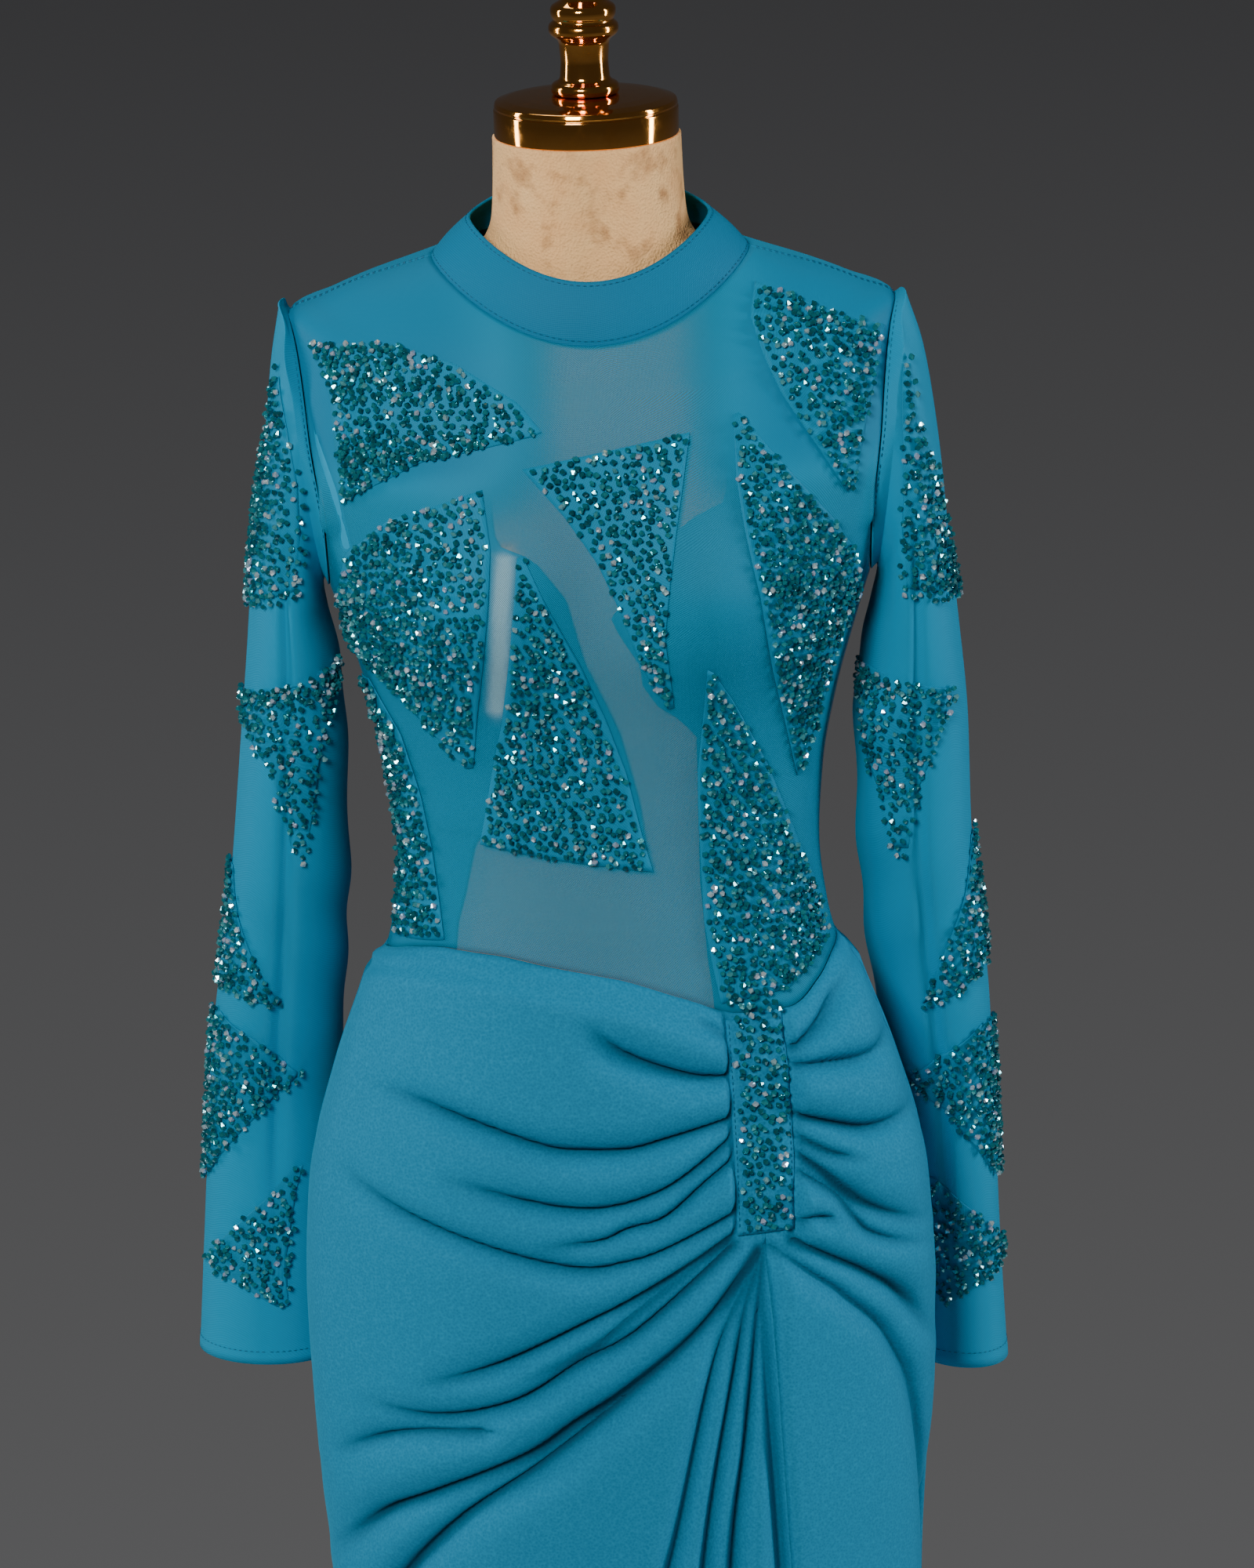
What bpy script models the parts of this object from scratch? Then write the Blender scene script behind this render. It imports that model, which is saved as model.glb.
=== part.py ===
"""Evening dress on a dress form: every cut and sewn piece as its own solid.

Metres, +Z up. The origin is the centre of the underside of the stand's base,
the dress looks toward -Y, and the wearer's left is +X.

The dress is a surface around an upright axis. A table of rings gives its
half width and depth at each level, from the hem (level 0) to the neck seam.
An angle of 0 is centre front, 90 the wearer's left side, 180 centre back.
"""
import math

import bmesh
import bpy
from mathutils import Matrix, Vector

COLLECTION = "evening_dress_on_form"

# Cloth
SEAM_GAP = 0.0003
WAIST_GAP = 0.0005
SHOULDER_GAP = 0.0008
SLEEVE_GAP = 0.0007
MESH_WALL = 0.0010
LINING_WALL = 0.0010
SKIRT_WALL = 0.0012
SLEEVE_WALL = 0.0012
COLLAR_WALL = 0.0014
LINING_INSET = 0.0018
TRIM_LIFT = 0.0004
TRIM_WALL = 0.0010
STRIP_LIFT = 0.0006
STRIP_WALL = 0.0020

# Dress form and stand
FORM_INSET = 0.0056
FORM_STEPS = 26
FORM_LEVEL = 5.25
NECK_RADIUS = 0.0525
CAP_RADIUS = 0.0515
CAP_BOTTOM = 1.5362
CAP_BAND = 0.019
POLE_RADIUS = 0.0125
BASE_RADIUS = 0.160
BASE_EDGE = 0.012
BASE_HUB_TOP = 0.046

# Rings of the dress: half width, depth in front, depth behind, then the
# height in front, at the side and behind, and the squareness of the ring
RINGS = (
    ("hem", 0.262, 0.215, 0.262, 0.020, 0.020, 0.020, 2.00),
    ("shin", 0.212, 0.165, 0.200, 0.200, 0.200, 0.200, 2.00),
    ("calf", 0.178, 0.130, 0.152, 0.380, 0.380, 0.380, 2.10),
    ("knee", 0.163, 0.113, 0.128, 0.530, 0.530, 0.530, 2.20),
    ("thigh", 0.166, 0.108, 0.121, 0.667, 0.667, 0.667, 2.30),
    ("low_hip", 0.173, 0.109, 0.127, 0.780, 0.780, 0.780, 2.30),
    ("hip", 0.175, 0.109, 0.130, 0.860, 0.860, 0.860, 2.30),
    ("high_hip", 0.171, 0.107, 0.123, 0.930, 0.930, 0.930, 2.30),
    ("belly", 0.156, 0.101, 0.109, 0.990, 0.990, 0.990, 2.25),
    ("seam", 0.1365, 0.092, 0.094, 1.045, 1.045, 1.045, 2.20),
    ("waist_low", 0.1255, 0.0865, 0.087, 1.085, 1.085, 1.085, 2.15),
    ("waist", 0.1215, 0.085, 0.085, 1.125, 1.125, 1.125, 2.15),
    ("ribs", 0.1245, 0.088, 0.087, 1.170, 1.170, 1.170, 2.15),
    ("under_bust", 0.1330, 0.094, 0.092, 1.215, 1.215, 1.215, 2.20),
    ("bust", 0.1480, 0.102, 0.100, 1.268, 1.268, 1.268, 2.25),
    ("chest", 0.1640, 0.100, 0.105, 1.320, 1.320, 1.320, 2.30),
    ("upper", 0.1735, 0.092, 0.104, 1.375, 1.375, 1.375, 2.35),
    ("tip", 0.1700, 0.0815, 0.095, 1.404, 1.440, 1.432, 2.10),
    ("slope_1", 0.1500, 0.0785, 0.090, 1.411, 1.450, 1.446, 2.05),
    ("slope_2", 0.1280, 0.0755, 0.083, 1.418, 1.459, 1.457, 2.00),
    ("slope_3", 0.1080, 0.0720, 0.0755, 1.425, 1.465, 1.468, 2.00),
    ("neck", 0.0890, 0.0690, 0.0680, 1.431, 1.4705, 1.478, 2.00),
)
NECK_LEVEL = len(RINGS) - 1

# Bust: where each cup peaks, how far it stands out and its two spreads
CUP_X = 0.068
CUP_Z = 1.292
CUP_RISE = 0.026
CUP_SPREAD_X = 0.046
CUP_SPREAD_Z = 0.050

# Armhole: its middle and half height in levels, half opening in degrees
ARM_MIDDLE = 15.65
ARM_HALF = 1.35
ARM_OPEN = 26.0
ARM_STEPS = 16

# Height of the waist seam every 15 degrees from the right side seam to the
# left one: it dips at the strip on the left hip
WAIST_STEP = 15
WAIST_SEAM = (
    1.0660, 1.0720, 1.0790, 1.0830, 1.0825, 1.0775, 1.0705, 1.0575, 1.0450,
    1.0435, 1.0535, 1.0630, 1.0660,
)
WAIST_SIDE = 1.066
WAIST_BLEND_UP = 1.268
WAIST_BLEND_DOWN = 0.900

# The beaded strip: height, then the left and right edge across the front
STRIP = (
    (1.0425, 0.0630, 0.0945),
    (1.0050, 0.0645, 0.0985),
    (0.9600, 0.0660, 0.0998),
    (0.9190, 0.0665, 0.0992),
)
STRIP_BOTTOM = 0.919
STRIP_ANGLE = 33.0

# Where the two front skirt panels meet, behind the strip and below it
SKIRT_DIVISION = (
    (1.100, 0.0788), (1.045, 0.0788), (1.005, 0.0815), (0.960, 0.0829),
    (0.919, 0.0829), (0.860, 0.0840), (0.710, 0.0900), (0.400, 0.1000),
    (0.020, 0.1300),
)

# Heights of the skirt's rows, close together where the folds are
SKIRT_ROWS = (
    1.066, 1.048, 1.030, 1.013, 0.996, 0.980, 0.965, 0.949, 0.934, 0.918,
    0.903, 0.887, 0.870, 0.852, 0.833, 0.812, 0.789, 0.762, 0.730, 0.690,
    0.630, 0.540, 0.430, 0.300, 0.160, 0.020,
)
BACK_SKIRT_ROWS = (
    1.066, 1.030, 0.990, 0.950, 0.905, 0.855, 0.790, 0.700, 0.580,
    0.440, 0.300, 0.160, 0.020,
)

# Gathers and pleats drawn as creases: depth as a share of the puff, width,
# then points across the front as (x, z), starting at the strip's end
CREASES = (
    ("left_1", 0.95, 0.0075, ((0.064, 1.013), (0.043, 1.016), (0.020, 1.024),
                              (-0.002, 1.035), (-0.018, 1.052))),
    ("left_1_soft", 0.55, 0.0060, ((0.064, 1.033), (0.043, 1.050))),
    ("left_2", 0.90, 0.0080, ((0.064, 0.990), (0.028, 0.981), (0.007, 0.976),
                              (-0.017, 0.976), (-0.039, 0.978), (-0.078, 0.990),
                              (-0.110, 0.999), (-0.137, 1.002))),
    ("left_3", 0.85, 0.0075, ((0.065, 0.979), (0.036, 0.958), (0.018, 0.949),
                              (-0.005, 0.943), (-0.031, 0.943), (-0.075, 0.952),
                              (-0.102, 0.961))),
    ("left_4", 0.80, 0.0075, ((0.065, 0.936), (0.026, 0.917), (0.003, 0.910),
                              (-0.023, 0.907), (-0.067, 0.917), (-0.121, 0.936),
                              (-0.157, 0.958))),
    ("left_5", 0.90, 0.0065, ((0.066, 0.967), (0.050, 0.955), (0.026, 0.936),
                              (0.005, 0.930), (-0.013, 0.923), (-0.052, 0.920))),
    ("left_6", 0.85, 0.0080, ((0.066, 0.923), (0.040, 0.907), (0.003, 0.886),
                              (-0.019, 0.875), (-0.061, 0.853), (-0.088, 0.841),
                              (-0.120, 0.829))),
    ("left_6_soft", 0.55, 0.0060, ((0.061, 0.920), (0.030, 0.896), (0.007, 0.878),
                                   (-0.016, 0.860), (-0.044, 0.845), (-0.070, 0.838))),
    ("left_7", 0.85, 0.0080, ((0.066, 0.917), (0.034, 0.889), (0.003, 0.864),
                              (-0.025, 0.849), (-0.062, 0.826), (-0.108, 0.814),
                              (-0.150, 0.818))),
    ("left_8", 0.60, 0.0080, ((-0.081, 0.806), (-0.130, 0.798), (-0.164, 0.770))),
    ("left_9", 0.90, 0.0090, ((0.078, 0.912), (0.047, 0.871), (0.003, 0.834),
                              (-0.027, 0.814), (-0.054, 0.794), (-0.109, 0.765),
                              (-0.139, 0.744), (-0.165, 0.700))),
    ("left_10", 0.85, 0.0085, ((0.079, 0.910), (0.042, 0.864), (0.000, 0.826),
                               (-0.045, 0.789), (-0.101, 0.744), (-0.140, 0.680),
                               (-0.165, 0.560))),
    ("fan_1", 0.80, 0.0085, ((0.080, 0.910), (0.061, 0.871), (0.048, 0.834),
                             (0.031, 0.755), (0.006, 0.640), (-0.030, 0.400),
                             (-0.070, 0.020))),
    ("fan_2", 0.90, 0.0075, ((0.080, 0.910), (0.070, 0.875), (0.053, 0.789),
                             (0.042, 0.716), (0.030, 0.600), (0.012, 0.350),
                             (-0.005, 0.020))),
    ("fan_3", 0.95, 0.0070, ((0.081, 0.910), (0.077, 0.871), (0.068, 0.798),
                             (0.058, 0.716), (0.052, 0.560), (0.050, 0.300),
                             (0.050, 0.020))),
    ("fan_4", 0.80, 0.0065, ((0.081, 0.910), (0.080, 0.860), (0.085, 0.740),
                             (0.090, 0.600), (0.098, 0.300), (0.120, 0.020))),
    ("right_1", 0.90, 0.0070, ((0.098, 1.022), (0.111, 1.030), (0.119, 1.040),
                               (0.129, 1.058))),
    ("right_1_low", 0.80, 0.0060, ((0.098, 1.013), (0.119, 1.010), (0.138, 1.007),
                                   (0.146, 1.018))),
    ("right_2", 0.95, 0.0075, ((0.098, 0.987), (0.118, 0.978), (0.136, 0.970),
                               (0.150, 0.967), (0.166, 0.970))),
    ("right_3", 0.70, 0.0060, ((0.098, 0.976), (0.118, 0.961), (0.140, 0.949))),
    ("right_4", 0.85, 0.0070, ((0.098, 0.966), (0.117, 0.949), (0.139, 0.926),
                               (0.172, 0.897))),
    ("right_5", 0.75, 0.0060, ((0.099, 0.955), (0.122, 0.936), (0.132, 0.920),
                               (0.142, 0.907), (0.172, 0.885))),
    ("right_6", 0.70, 0.0060, ((0.098, 0.921), (0.107, 0.927), (0.126, 0.920))),
    ("right_7", 0.90, 0.0070, ((0.098, 0.914), (0.115, 0.903), (0.138, 0.886),
                               (0.157, 0.864), (0.172, 0.820))),
    ("right_8", 0.70, 0.0085, ((0.087, 0.910), (0.106, 0.893), (0.125, 0.875),
                               (0.150, 0.838), (0.165, 0.760), (0.175, 0.500),
                               (0.200, 0.020))),
)
PUFF_HIP = 0.0105
PUFF_HEM = 0.0140
PUFF_AT_SIDE = 0.45
PUFF_START = 0.009
CREASE_LOW_SIDE = 1.15
CREASE_HIGH_SIDE = 0.75

# Sleeves: outer edge and inner edge seen from the front as x and z, then
# how far back the middle lies and the half depth from front to back
LEFT_SLEEVE = (
    (0.1745, 1.4440, 0.1570, 1.2860, 0.000, 0.0455),
    (0.1850, 1.4120, 0.1580, 1.2790, 0.002, 0.0475),
    (0.1935, 1.3560, 0.1565, 1.2710, 0.004, 0.0480),
    (0.1990, 1.2950, 0.1535, 1.2600, 0.008, 0.0470),
    (0.2045, 1.2430, 0.1480, 1.2350, 0.013, 0.0450),
    (0.2090, 1.1900, 0.1435, 1.1890, 0.020, 0.0425),
    (0.2110, 1.1200, 0.1447, 1.1200, 0.032, 0.0395),
    (0.2165, 1.0640, 0.1480, 1.0620, 0.046, 0.0380),
    (0.2220, 1.0080, 0.1550, 1.0050, 0.061, 0.0365),
    (0.2258, 0.9340, 0.1640, 0.9340, 0.080, 0.0350),
    (0.2285, 0.8500, 0.1690, 0.8520, 0.086, 0.0340),
    (0.2325, 0.7640, 0.1715, 0.7720, 0.088, 0.0330),
)
RIGHT_SLEEVE = (
    (0.1735, 1.4480, 0.1560, 1.2880, 0.000, 0.0455),
    (0.1800, 1.4180, 0.1575, 1.2810, 0.002, 0.0475),
    (0.1870, 1.3650, 0.1570, 1.2730, 0.004, 0.0480),
    (0.1965, 1.3040, 0.1555, 1.2640, 0.008, 0.0470),
    (0.2035, 1.2400, 0.1500, 1.2330, 0.013, 0.0450),
    (0.2100, 1.1850, 0.1487, 1.1830, 0.020, 0.0430),
    (0.2190, 1.1100, 0.1510, 1.1080, 0.032, 0.0410),
    (0.2260, 1.0620, 0.1545, 1.0580, 0.046, 0.0390),
    (0.2350, 1.0120, 0.1595, 1.0060, 0.061, 0.0375),
    (0.2435, 0.9400, 0.1650, 0.9400, 0.080, 0.0360),
    (0.2510, 0.8560, 0.1695, 0.8560, 0.086, 0.0350),
    (0.2570, 0.7850, 0.1725, 0.7820, 0.088, 0.0340),
)
SLEEVE_STEPS = 13

# Inner edge of each lining across the front, as (z, x)
RIGHT_LINING_EDGE = (
    (1.445, -0.068), (1.368, -0.061), (1.331, -0.057), (1.322, -0.036),
    (1.299, -0.019), (1.260, -0.010), (1.215, 0.008), (1.174, 0.018),
    (1.1435, 0.022), (1.1425, -0.071), (1.133, -0.076), (1.106, -0.083),
    (1.084, -0.0895), (1.060, -0.094),
)
LEFT_LINING_EDGE = (
    (1.441, 0.0790), (1.404, 0.0755), (1.361, 0.0720), (1.349, 0.0710),
    (1.346, 0.0611), (1.340, 0.0492), (1.334, 0.0423), (1.309, 0.0237),
    (1.286, 0.0054), (1.278, 0.0086), (1.268, 0.0145), (1.257, 0.0210),
    (1.246, 0.0215), (1.233, 0.0293), (1.225, 0.0420), (1.215, 0.0523),
    (1.181, 0.0527), (1.134, 0.0520), (1.050, 0.0560),
)

# The linings' outer corners past the side seam, short of the shoulder's tip
LINING_CORNERS = ((0.200, 1.055), (0.200, 1.405), (0.140, 1.450))

# Beaded patches on the bodice: each row runs from a left point to a right
# point, both as (x, z) across the front
BODICE_PATCHES = {
    "shoulder_right": (
        ((-0.157, 1.431), (-0.111, 1.432)), ((-0.149, 1.417), (-0.078, 1.423)),
        ((-0.144, 1.402), (-0.044, 1.403)), ((-0.143, 1.385), (-0.031, 1.387)),
        ((-0.142, 1.366), (-0.097, 1.372)), ((-0.140, 1.345), (-0.136, 1.350)),
    ),
    "shoulder_left": (
        ((0.091, 1.457), (0.113, 1.448)), ((0.088, 1.441), (0.134, 1.439)),
        ((0.095, 1.422), (0.161, 1.430)), ((0.104, 1.402), (0.157, 1.412)),
        ((0.122, 1.373), (0.150, 1.385)), ((0.139, 1.343), (0.142, 1.345)),
    ),
    "centre": (
        ((-0.039, 1.369), (0.050, 1.385)), ((-0.017, 1.343), (0.046, 1.358)),
        ((0.000, 1.317), (0.042, 1.333)), ((0.012, 1.289), (0.038, 1.304)),
        ((0.023, 1.257), (0.035, 1.276)), ((0.036, 1.231), (0.039, 1.232)),
    ),
    "bust_right": (
        ((-0.114, 1.340), (-0.064, 1.358)), ((-0.139, 1.316), (-0.061, 1.328)),
        ((-0.147, 1.284), (-0.063, 1.300)), ((-0.143, 1.256), (-0.067, 1.264)),
        ((-0.118, 1.238), (-0.071, 1.230)), ((-0.078, 1.193), (-0.074, 1.194)),
    ),
    "front_right": (
        ((-0.045, 1.323), (-0.042, 1.324)), ((-0.047, 1.300), (-0.031, 1.298)),
        ((-0.051, 1.262), (-0.013, 1.260)), ((-0.056, 1.222), (0.000, 1.225)),
        ((-0.062, 1.192), (0.010, 1.192)), ((-0.066, 1.168), (0.017, 1.157)),
        ((-0.070, 1.147), (0.023, 1.132)),
    ),
    "side_left": (
        ((0.076, 1.393), (0.079, 1.394)), ((0.077, 1.360), (0.108, 1.358)),
        ((0.081, 1.334), (0.129, 1.331)), ((0.086, 1.310), (0.142, 1.307)),
        ((0.089, 1.296), (0.146, 1.282)), ((0.095, 1.249), (0.133, 1.255)),
        ((0.101, 1.215), (0.123, 1.216)), ((0.108, 1.175), (0.111, 1.176)),
    ),
    "waist_right": (
        ((-0.1365, 1.234), (-0.132, 1.236)), ((-0.127, 1.199), (-0.115, 1.207)),
        ((-0.122, 1.163), (-0.105, 1.170)), ((-0.119, 1.135), (-0.100, 1.140)),
        ((-0.121, 1.105), (-0.097, 1.110)), ((-0.124, 1.080), (-0.095, 1.087)),
    ),
    "waist_left": (
        ((0.058, 1.256), (0.061, 1.254)), ((0.056, 1.230), (0.072, 1.232)),
        ((0.052, 1.190), (0.090, 1.188)), ((0.052, 1.160), (0.100, 1.157)),
        ((0.053, 1.130), (0.109, 1.128)), ((0.054, 1.100), (0.119, 1.098)),
        ((0.058, 1.074), (0.124, 1.071)), ((0.062, 1.052), (0.100, 1.054)),
    ),
}

# Beaded patches on each sleeve: each row runs from the edge beside the body to
# the outer edge, both as height and degrees from the middle of the sleeve's
# front, where 90 is its outer edge
RIGHT_SLEEVE_PATCHES = {
    "head": (((1.416, 50), (1.415, 58)), ((1.380, 17), (1.373, 71)),
             ((1.352, -8), (1.340, 84)), ((1.318, -23), (1.310, 84)),
             ((1.286, -25), (1.266, 84))),
    "upper": (((1.240, -74), (1.241, -62)), ((1.221, -59), (1.217, 84)),
              ((1.179, -32), (1.179, 23)), ((1.141, -22), (1.142, 5)),
              ((1.114, -15), (1.114, -10))),
    "elbow": (((1.114, 76), (1.114, 84)), ((1.079, 50), (1.070, 84)),
              ((1.046, 17), (1.033, 84)), ((1.021, -4), (1.024, 10))),
    "lower": (((1.015, 70), (1.011, 84)), ((1.000, 16), (0.988, 84)),
              ((0.975, -27), (0.964, 84)), ((0.943, 15), (0.931, 84)),
              ((0.898, 72), (0.892, 84))),
    "cuff": (((0.915, -29), (0.914, -24)), ((0.895, -23), (0.895, 0)),
             ((0.854, -18), (0.846, 72)), ((0.834, -17), (0.834, 22)),
             ((0.818, -17), (0.819, -12))),
}
LEFT_SLEEVE_PATCHES = {
    "head": (((1.415, 38), (1.414, 45)), ((1.377, 14), (1.376, 29)),
             ((1.349, -3), (1.343, 55)), ((1.316, -18), (1.307, 67)),
             ((1.275, -21), (1.260, 80))),
    "upper": (((1.229, -76), (1.231, -70)), ((1.211, -72), (1.214, 50)),
              ((1.177, -58), (1.182, 22)), ((1.150, -38), (1.153, 5)),
              ((1.109, -27), (1.110, -12))),
    "elbow": (((1.119, 76), (1.119, 84)), ((1.082, 47), (1.072, 84)),
              ((1.051, 16), (1.037, 84)), ((1.006, -17), (1.012, 6))),
    "lower": (((0.993, 57), (0.989, 84)), ((0.977, 3), (0.966, 84)),
              ((0.957, -47), (0.949, 84)), ((0.936, -6), (0.927, 84)),
              ((0.885, 63), (0.882, 84))),
    "cuff": (((0.896, -31), (0.896, -26)), ((0.873, -32), (0.873, 19)),
             ((0.846, -28), (0.833, 84)), ((0.823, -25), (0.821, 29)),
             ((0.807, -17), (0.809, -11))),
}
REACH = 0.022
PAST_EDGE = 0.004
FRONT_COLUMNS = 20
BACK_COLUMNS = 7

# Stand collar: top edge half widths, and its height in front, side and back
COLLAR_TOP = (0.0670, 0.0590, 1.4650, 1.4920, 1.5030)
COLLAR_BULGE = 0.0018
COLLAR_COLUMNS = 24
COLLAR_ROWS = 2

# Zip at the centre back: slider on the collar, tape under the seam
TAPE_HALF = 0.009
TAPE_INSET = 0.0021
TAPE_WALL = 0.0010
TAPE_FOOT = 0.905
SLIDER_WIDTH = 0.0060
SLIDER_LENGTH = 0.0110
SLIDER_THICK = 0.0020
SLIDER_SHARE = 0.80
BAIL_WIDTH = 0.0012
BAIL_REACH = 0.0040
BAIL_RISE = 0.0024
PULL_THICK = 0.0008
PULL_WIDTH = 0.0050
PULL_HOLE_WIDTH = 0.0026
PULL_HOLE = 0.0062
PULL_BAR = 0.0006
PULL_LENGTH = 0.0240

COLOURS = {
    "mesh": ((0.006, 0.270, 0.450), 0.75, 0.0),
    "lining": ((0.010, 0.300, 0.460), 0.60, 0.0),
    "crepe": ((0.020, 0.230, 0.400), 0.85, 0.0),
    "beads": ((0.010, 0.140, 0.230), 0.20, 0.1),
    "velvet": ((0.760, 0.520, 0.300), 0.90, 0.0),
    "brass": ((0.830, 0.560, 0.180), 0.18, 1.0),
    "zip_tape": ((0.010, 0.180, 0.300), 0.80, 0.0),
    "zip_metal": ((0.020, 0.250, 0.380), 0.35, 0.7),
}


def clamp(value, low=0.0, high=1.0):
    """Keep a value between two limits."""
    return max(low, min(high, value))


def smooth(value):
    """Ease from 0 to 1."""
    value = clamp(value)
    return value * value * (3 - 2 * value)


def along(table, position):
    """Read a table of (position, value) rows, straight between its rows."""
    rows = sorted(table)
    if position <= rows[0][0]:
        return rows[0][1]
    for before, after in zip(rows, rows[1:]):
        if position <= after[0]:
            share = (position - before[0]) / (after[0] - before[0])
            return before[1] + share * (after[1] - before[1])
    return rows[-1][1]


def eased(values, position):
    """Read a list at a fractional index along a curve that never overshoots."""
    index = int(clamp(math.floor(position), 0, len(values) - 2))
    share = position - index
    steps = [b - a for a, b in zip(values, values[1:])]

    def slope(at):
        if at == 0 or at == len(values) - 1:
            return steps[min(at, len(steps) - 1)]
        left, right = steps[at - 1], steps[at]
        if left * right <= 0:
            return 0.0
        return 2 * left * right / (left + right)

    rise = values[index + 1] - values[index]
    start, end = slope(index), slope(index + 1)
    inner = start * share * (1 - share) ** 2 - end * share ** 2 * (1 - share)
    return values[index] + rise * share * share * (3 - 2 * share) + inner


RING_COLUMNS = [list(column) for column in zip(*[ring[1:] for ring in RINGS])]


def ring_at(level):
    """The ring's seven sizes at a level between the table's rows."""
    return [eased(column, level) for column in RING_COLUMNS]


def level_at(height):
    """The level whose side lies at a height."""
    low, high = 0.0, float(NECK_LEVEL)
    for _ in range(32):
        middle = (low + high) / 2
        if eased(RING_COLUMNS[4], middle) < height:
            low = middle
        else:
            high = middle
    return (low + high) / 2


def cup_rise(x, z):
    """How far the bust stands out at a place on the front."""
    height = math.exp(-((z - CUP_Z) / CUP_SPREAD_Z) ** 2)
    sides = [math.exp(-((x - centre) / CUP_SPREAD_X) ** 2) for centre in (CUP_X, -CUP_X)]
    return CUP_RISE * height * sum(sides)


def body_surface(angle, level):
    """A point of the dress at an angle in degrees and a level."""
    width, front, back, z_front, z_side, z_back, square = ring_at(level)
    sine = math.sin(math.radians(angle))
    cosine = math.cos(math.radians(angle))
    across = abs(sine) ** (2 / square)
    ahead = abs(cosine) ** (2 / square)
    facing_front = cosine > 0
    x = math.copysign(width * across, sine)
    z = z_side + ((z_front if facing_front else z_back) - z_side) * ahead * ahead
    if not facing_front:
        return Vector((x, back * ahead, z))
    return Vector((x, -front * ahead - cup_rise(x, z) * math.sqrt(ahead), z))


def body_point(angle, level, out=0.0):
    """A point of the dress, moved out along the surface's normal."""
    point = body_surface(angle, level)
    if out == 0.0:
        return point
    around = body_surface(angle + 0.5, level) - body_surface(angle - 0.5, level)
    low, high = max(level - 0.02, 0.0), min(level + 0.02, NECK_LEVEL)
    upward = body_surface(angle, high) - body_surface(angle, low)
    return point + around.cross(upward).normalized() * out


def angle_at(x, level):
    """The front angle at which the dress reaches a distance from its middle."""
    width, *_, square = ring_at(level)
    share = clamp(abs(x) / width, 0.0, 0.9995)
    return math.copysign(math.degrees(math.asin(share ** (square / 2))), x)


def arm_opening(level):
    """Half of the armhole's width in degrees at a level, 0 outside it."""
    share = (level - ARM_MIDDLE) / ARM_HALF
    if abs(share) >= 1:
        return 0.0
    return ARM_OPEN * math.sqrt(1 - share * share)


def arm_levels():
    """The levels at which the armhole's edge has a point."""
    quarter = ARM_STEPS // 4
    turns = [math.pi / 2 * step / quarter for step in range(-quarter, quarter + 1)]
    return [ARM_MIDDLE + ARM_HALF * math.sin(turn) for turn in turns]


def angle_of(length, level):
    """Degrees at the side of the dress that a length along its ring takes."""
    return math.degrees(length / ring_at(level)[0])


def seam_height(angle):
    """Height of the waist seam at an angle on the front."""
    return eased(WAIST_SEAM, (angle + 90) / WAIST_STEP)


def distance_to_line(x, z, points):
    """Distance to a crease, negative on the side below it."""
    best, side = 1e9, 1.0
    for (x0, z0), (x1, z1) in zip(points, points[1:]):
        run_x, run_z = x1 - x0, z1 - z0
        length = run_x * run_x + run_z * run_z
        share = clamp(((x - x0) * run_x + (z - z0) * run_z) / length)
        away = math.hypot(x - x0 - share * run_x, z - z0 - share * run_z)
        if away < best:
            best = away
            turn = run_x * (z - z0) - run_z * (x - x0)
            side = math.copysign(1.0, turn if run_x > 0 else -turn)
    return best * side


def puff(x, z, side_share):
    """How far the gathered cloth stands out before its creases."""
    table = [(height, (left, right)) for height, left, right in STRIP]
    left = along([(height, edges[0]) for height, edges in table], z)
    right = along([(height, edges[1]) for height, edges in table], z)
    clear_of_strip = max(left - x, x - right, STRIP_BOTTOM - 0.001 - z)
    from_strip = smooth((clear_of_strip - 0.001) / PUFF_START)
    from_waist = smooth((seam_height(side_share * 90) - z) / 0.022)
    to_side = 1 - (1 - PUFF_AT_SIDE) * smooth((abs(side_share) - 0.70) / 0.30)
    size = PUFF_HIP + (PUFF_HEM - PUFF_HIP) * smooth((0.80 - z) / 0.60)
    return size * from_strip * from_waist * to_side


def front_fold(x, z, side_share):
    """How far the front of the skirt stands out at a place."""
    height = puff(x, z, side_share)
    for _, depth, width, points in CREASES:
        away = distance_to_line(x, z, points)
        spread = width * (CREASE_LOW_SIDE if away < 0 else CREASE_HIGH_SIDE)
        spread *= 1 + smooth((0.75 - z) / 0.5)
        height *= 1 - depth * math.exp(-(away / spread) ** 2)
    return height


def skirt_point(angle, level):
    """A point of the folded skirt."""
    place = body_point(angle, level)
    if abs(angle) <= 90:
        return body_point(angle, level, front_fold(place.x, place.z, angle / 90))
    from_front = min(abs(angle), 360 - abs(angle))
    share = smooth((170 - from_front) / 60)
    edge = PUFF_AT_SIDE * (PUFF_HIP + (PUFF_HEM - PUFF_HIP) * smooth((0.80 - place.z) / 0.60))
    edge *= smooth((WAIST_SIDE - place.z) / 0.022)
    flutes = 0.006 * smooth((0.85 - place.z) / 0.6) * (1 - math.cos(math.radians(angle * 8)))
    return body_point(angle, level, edge * share + flutes)


def get_collection(name):
    """Make a collection in the scene."""
    collection = bpy.data.collections.new(name)
    bpy.context.scene.collection.children.link(collection)
    return collection


def get_material(name):
    """A plain material from the table of colours."""
    if name in bpy.data.materials:
        return bpy.data.materials[name]
    colour, roughness, metallic = COLOURS[name]
    material = bpy.data.materials.new(name)
    material.use_nodes = True
    shader = material.node_tree.nodes["Principled BSDF"]
    shader.inputs["Base Color"].default_value = (*colour, 1.0)
    shader.inputs["Roughness"].default_value = roughness
    shader.inputs["Metallic"].default_value = metallic
    return material


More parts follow.
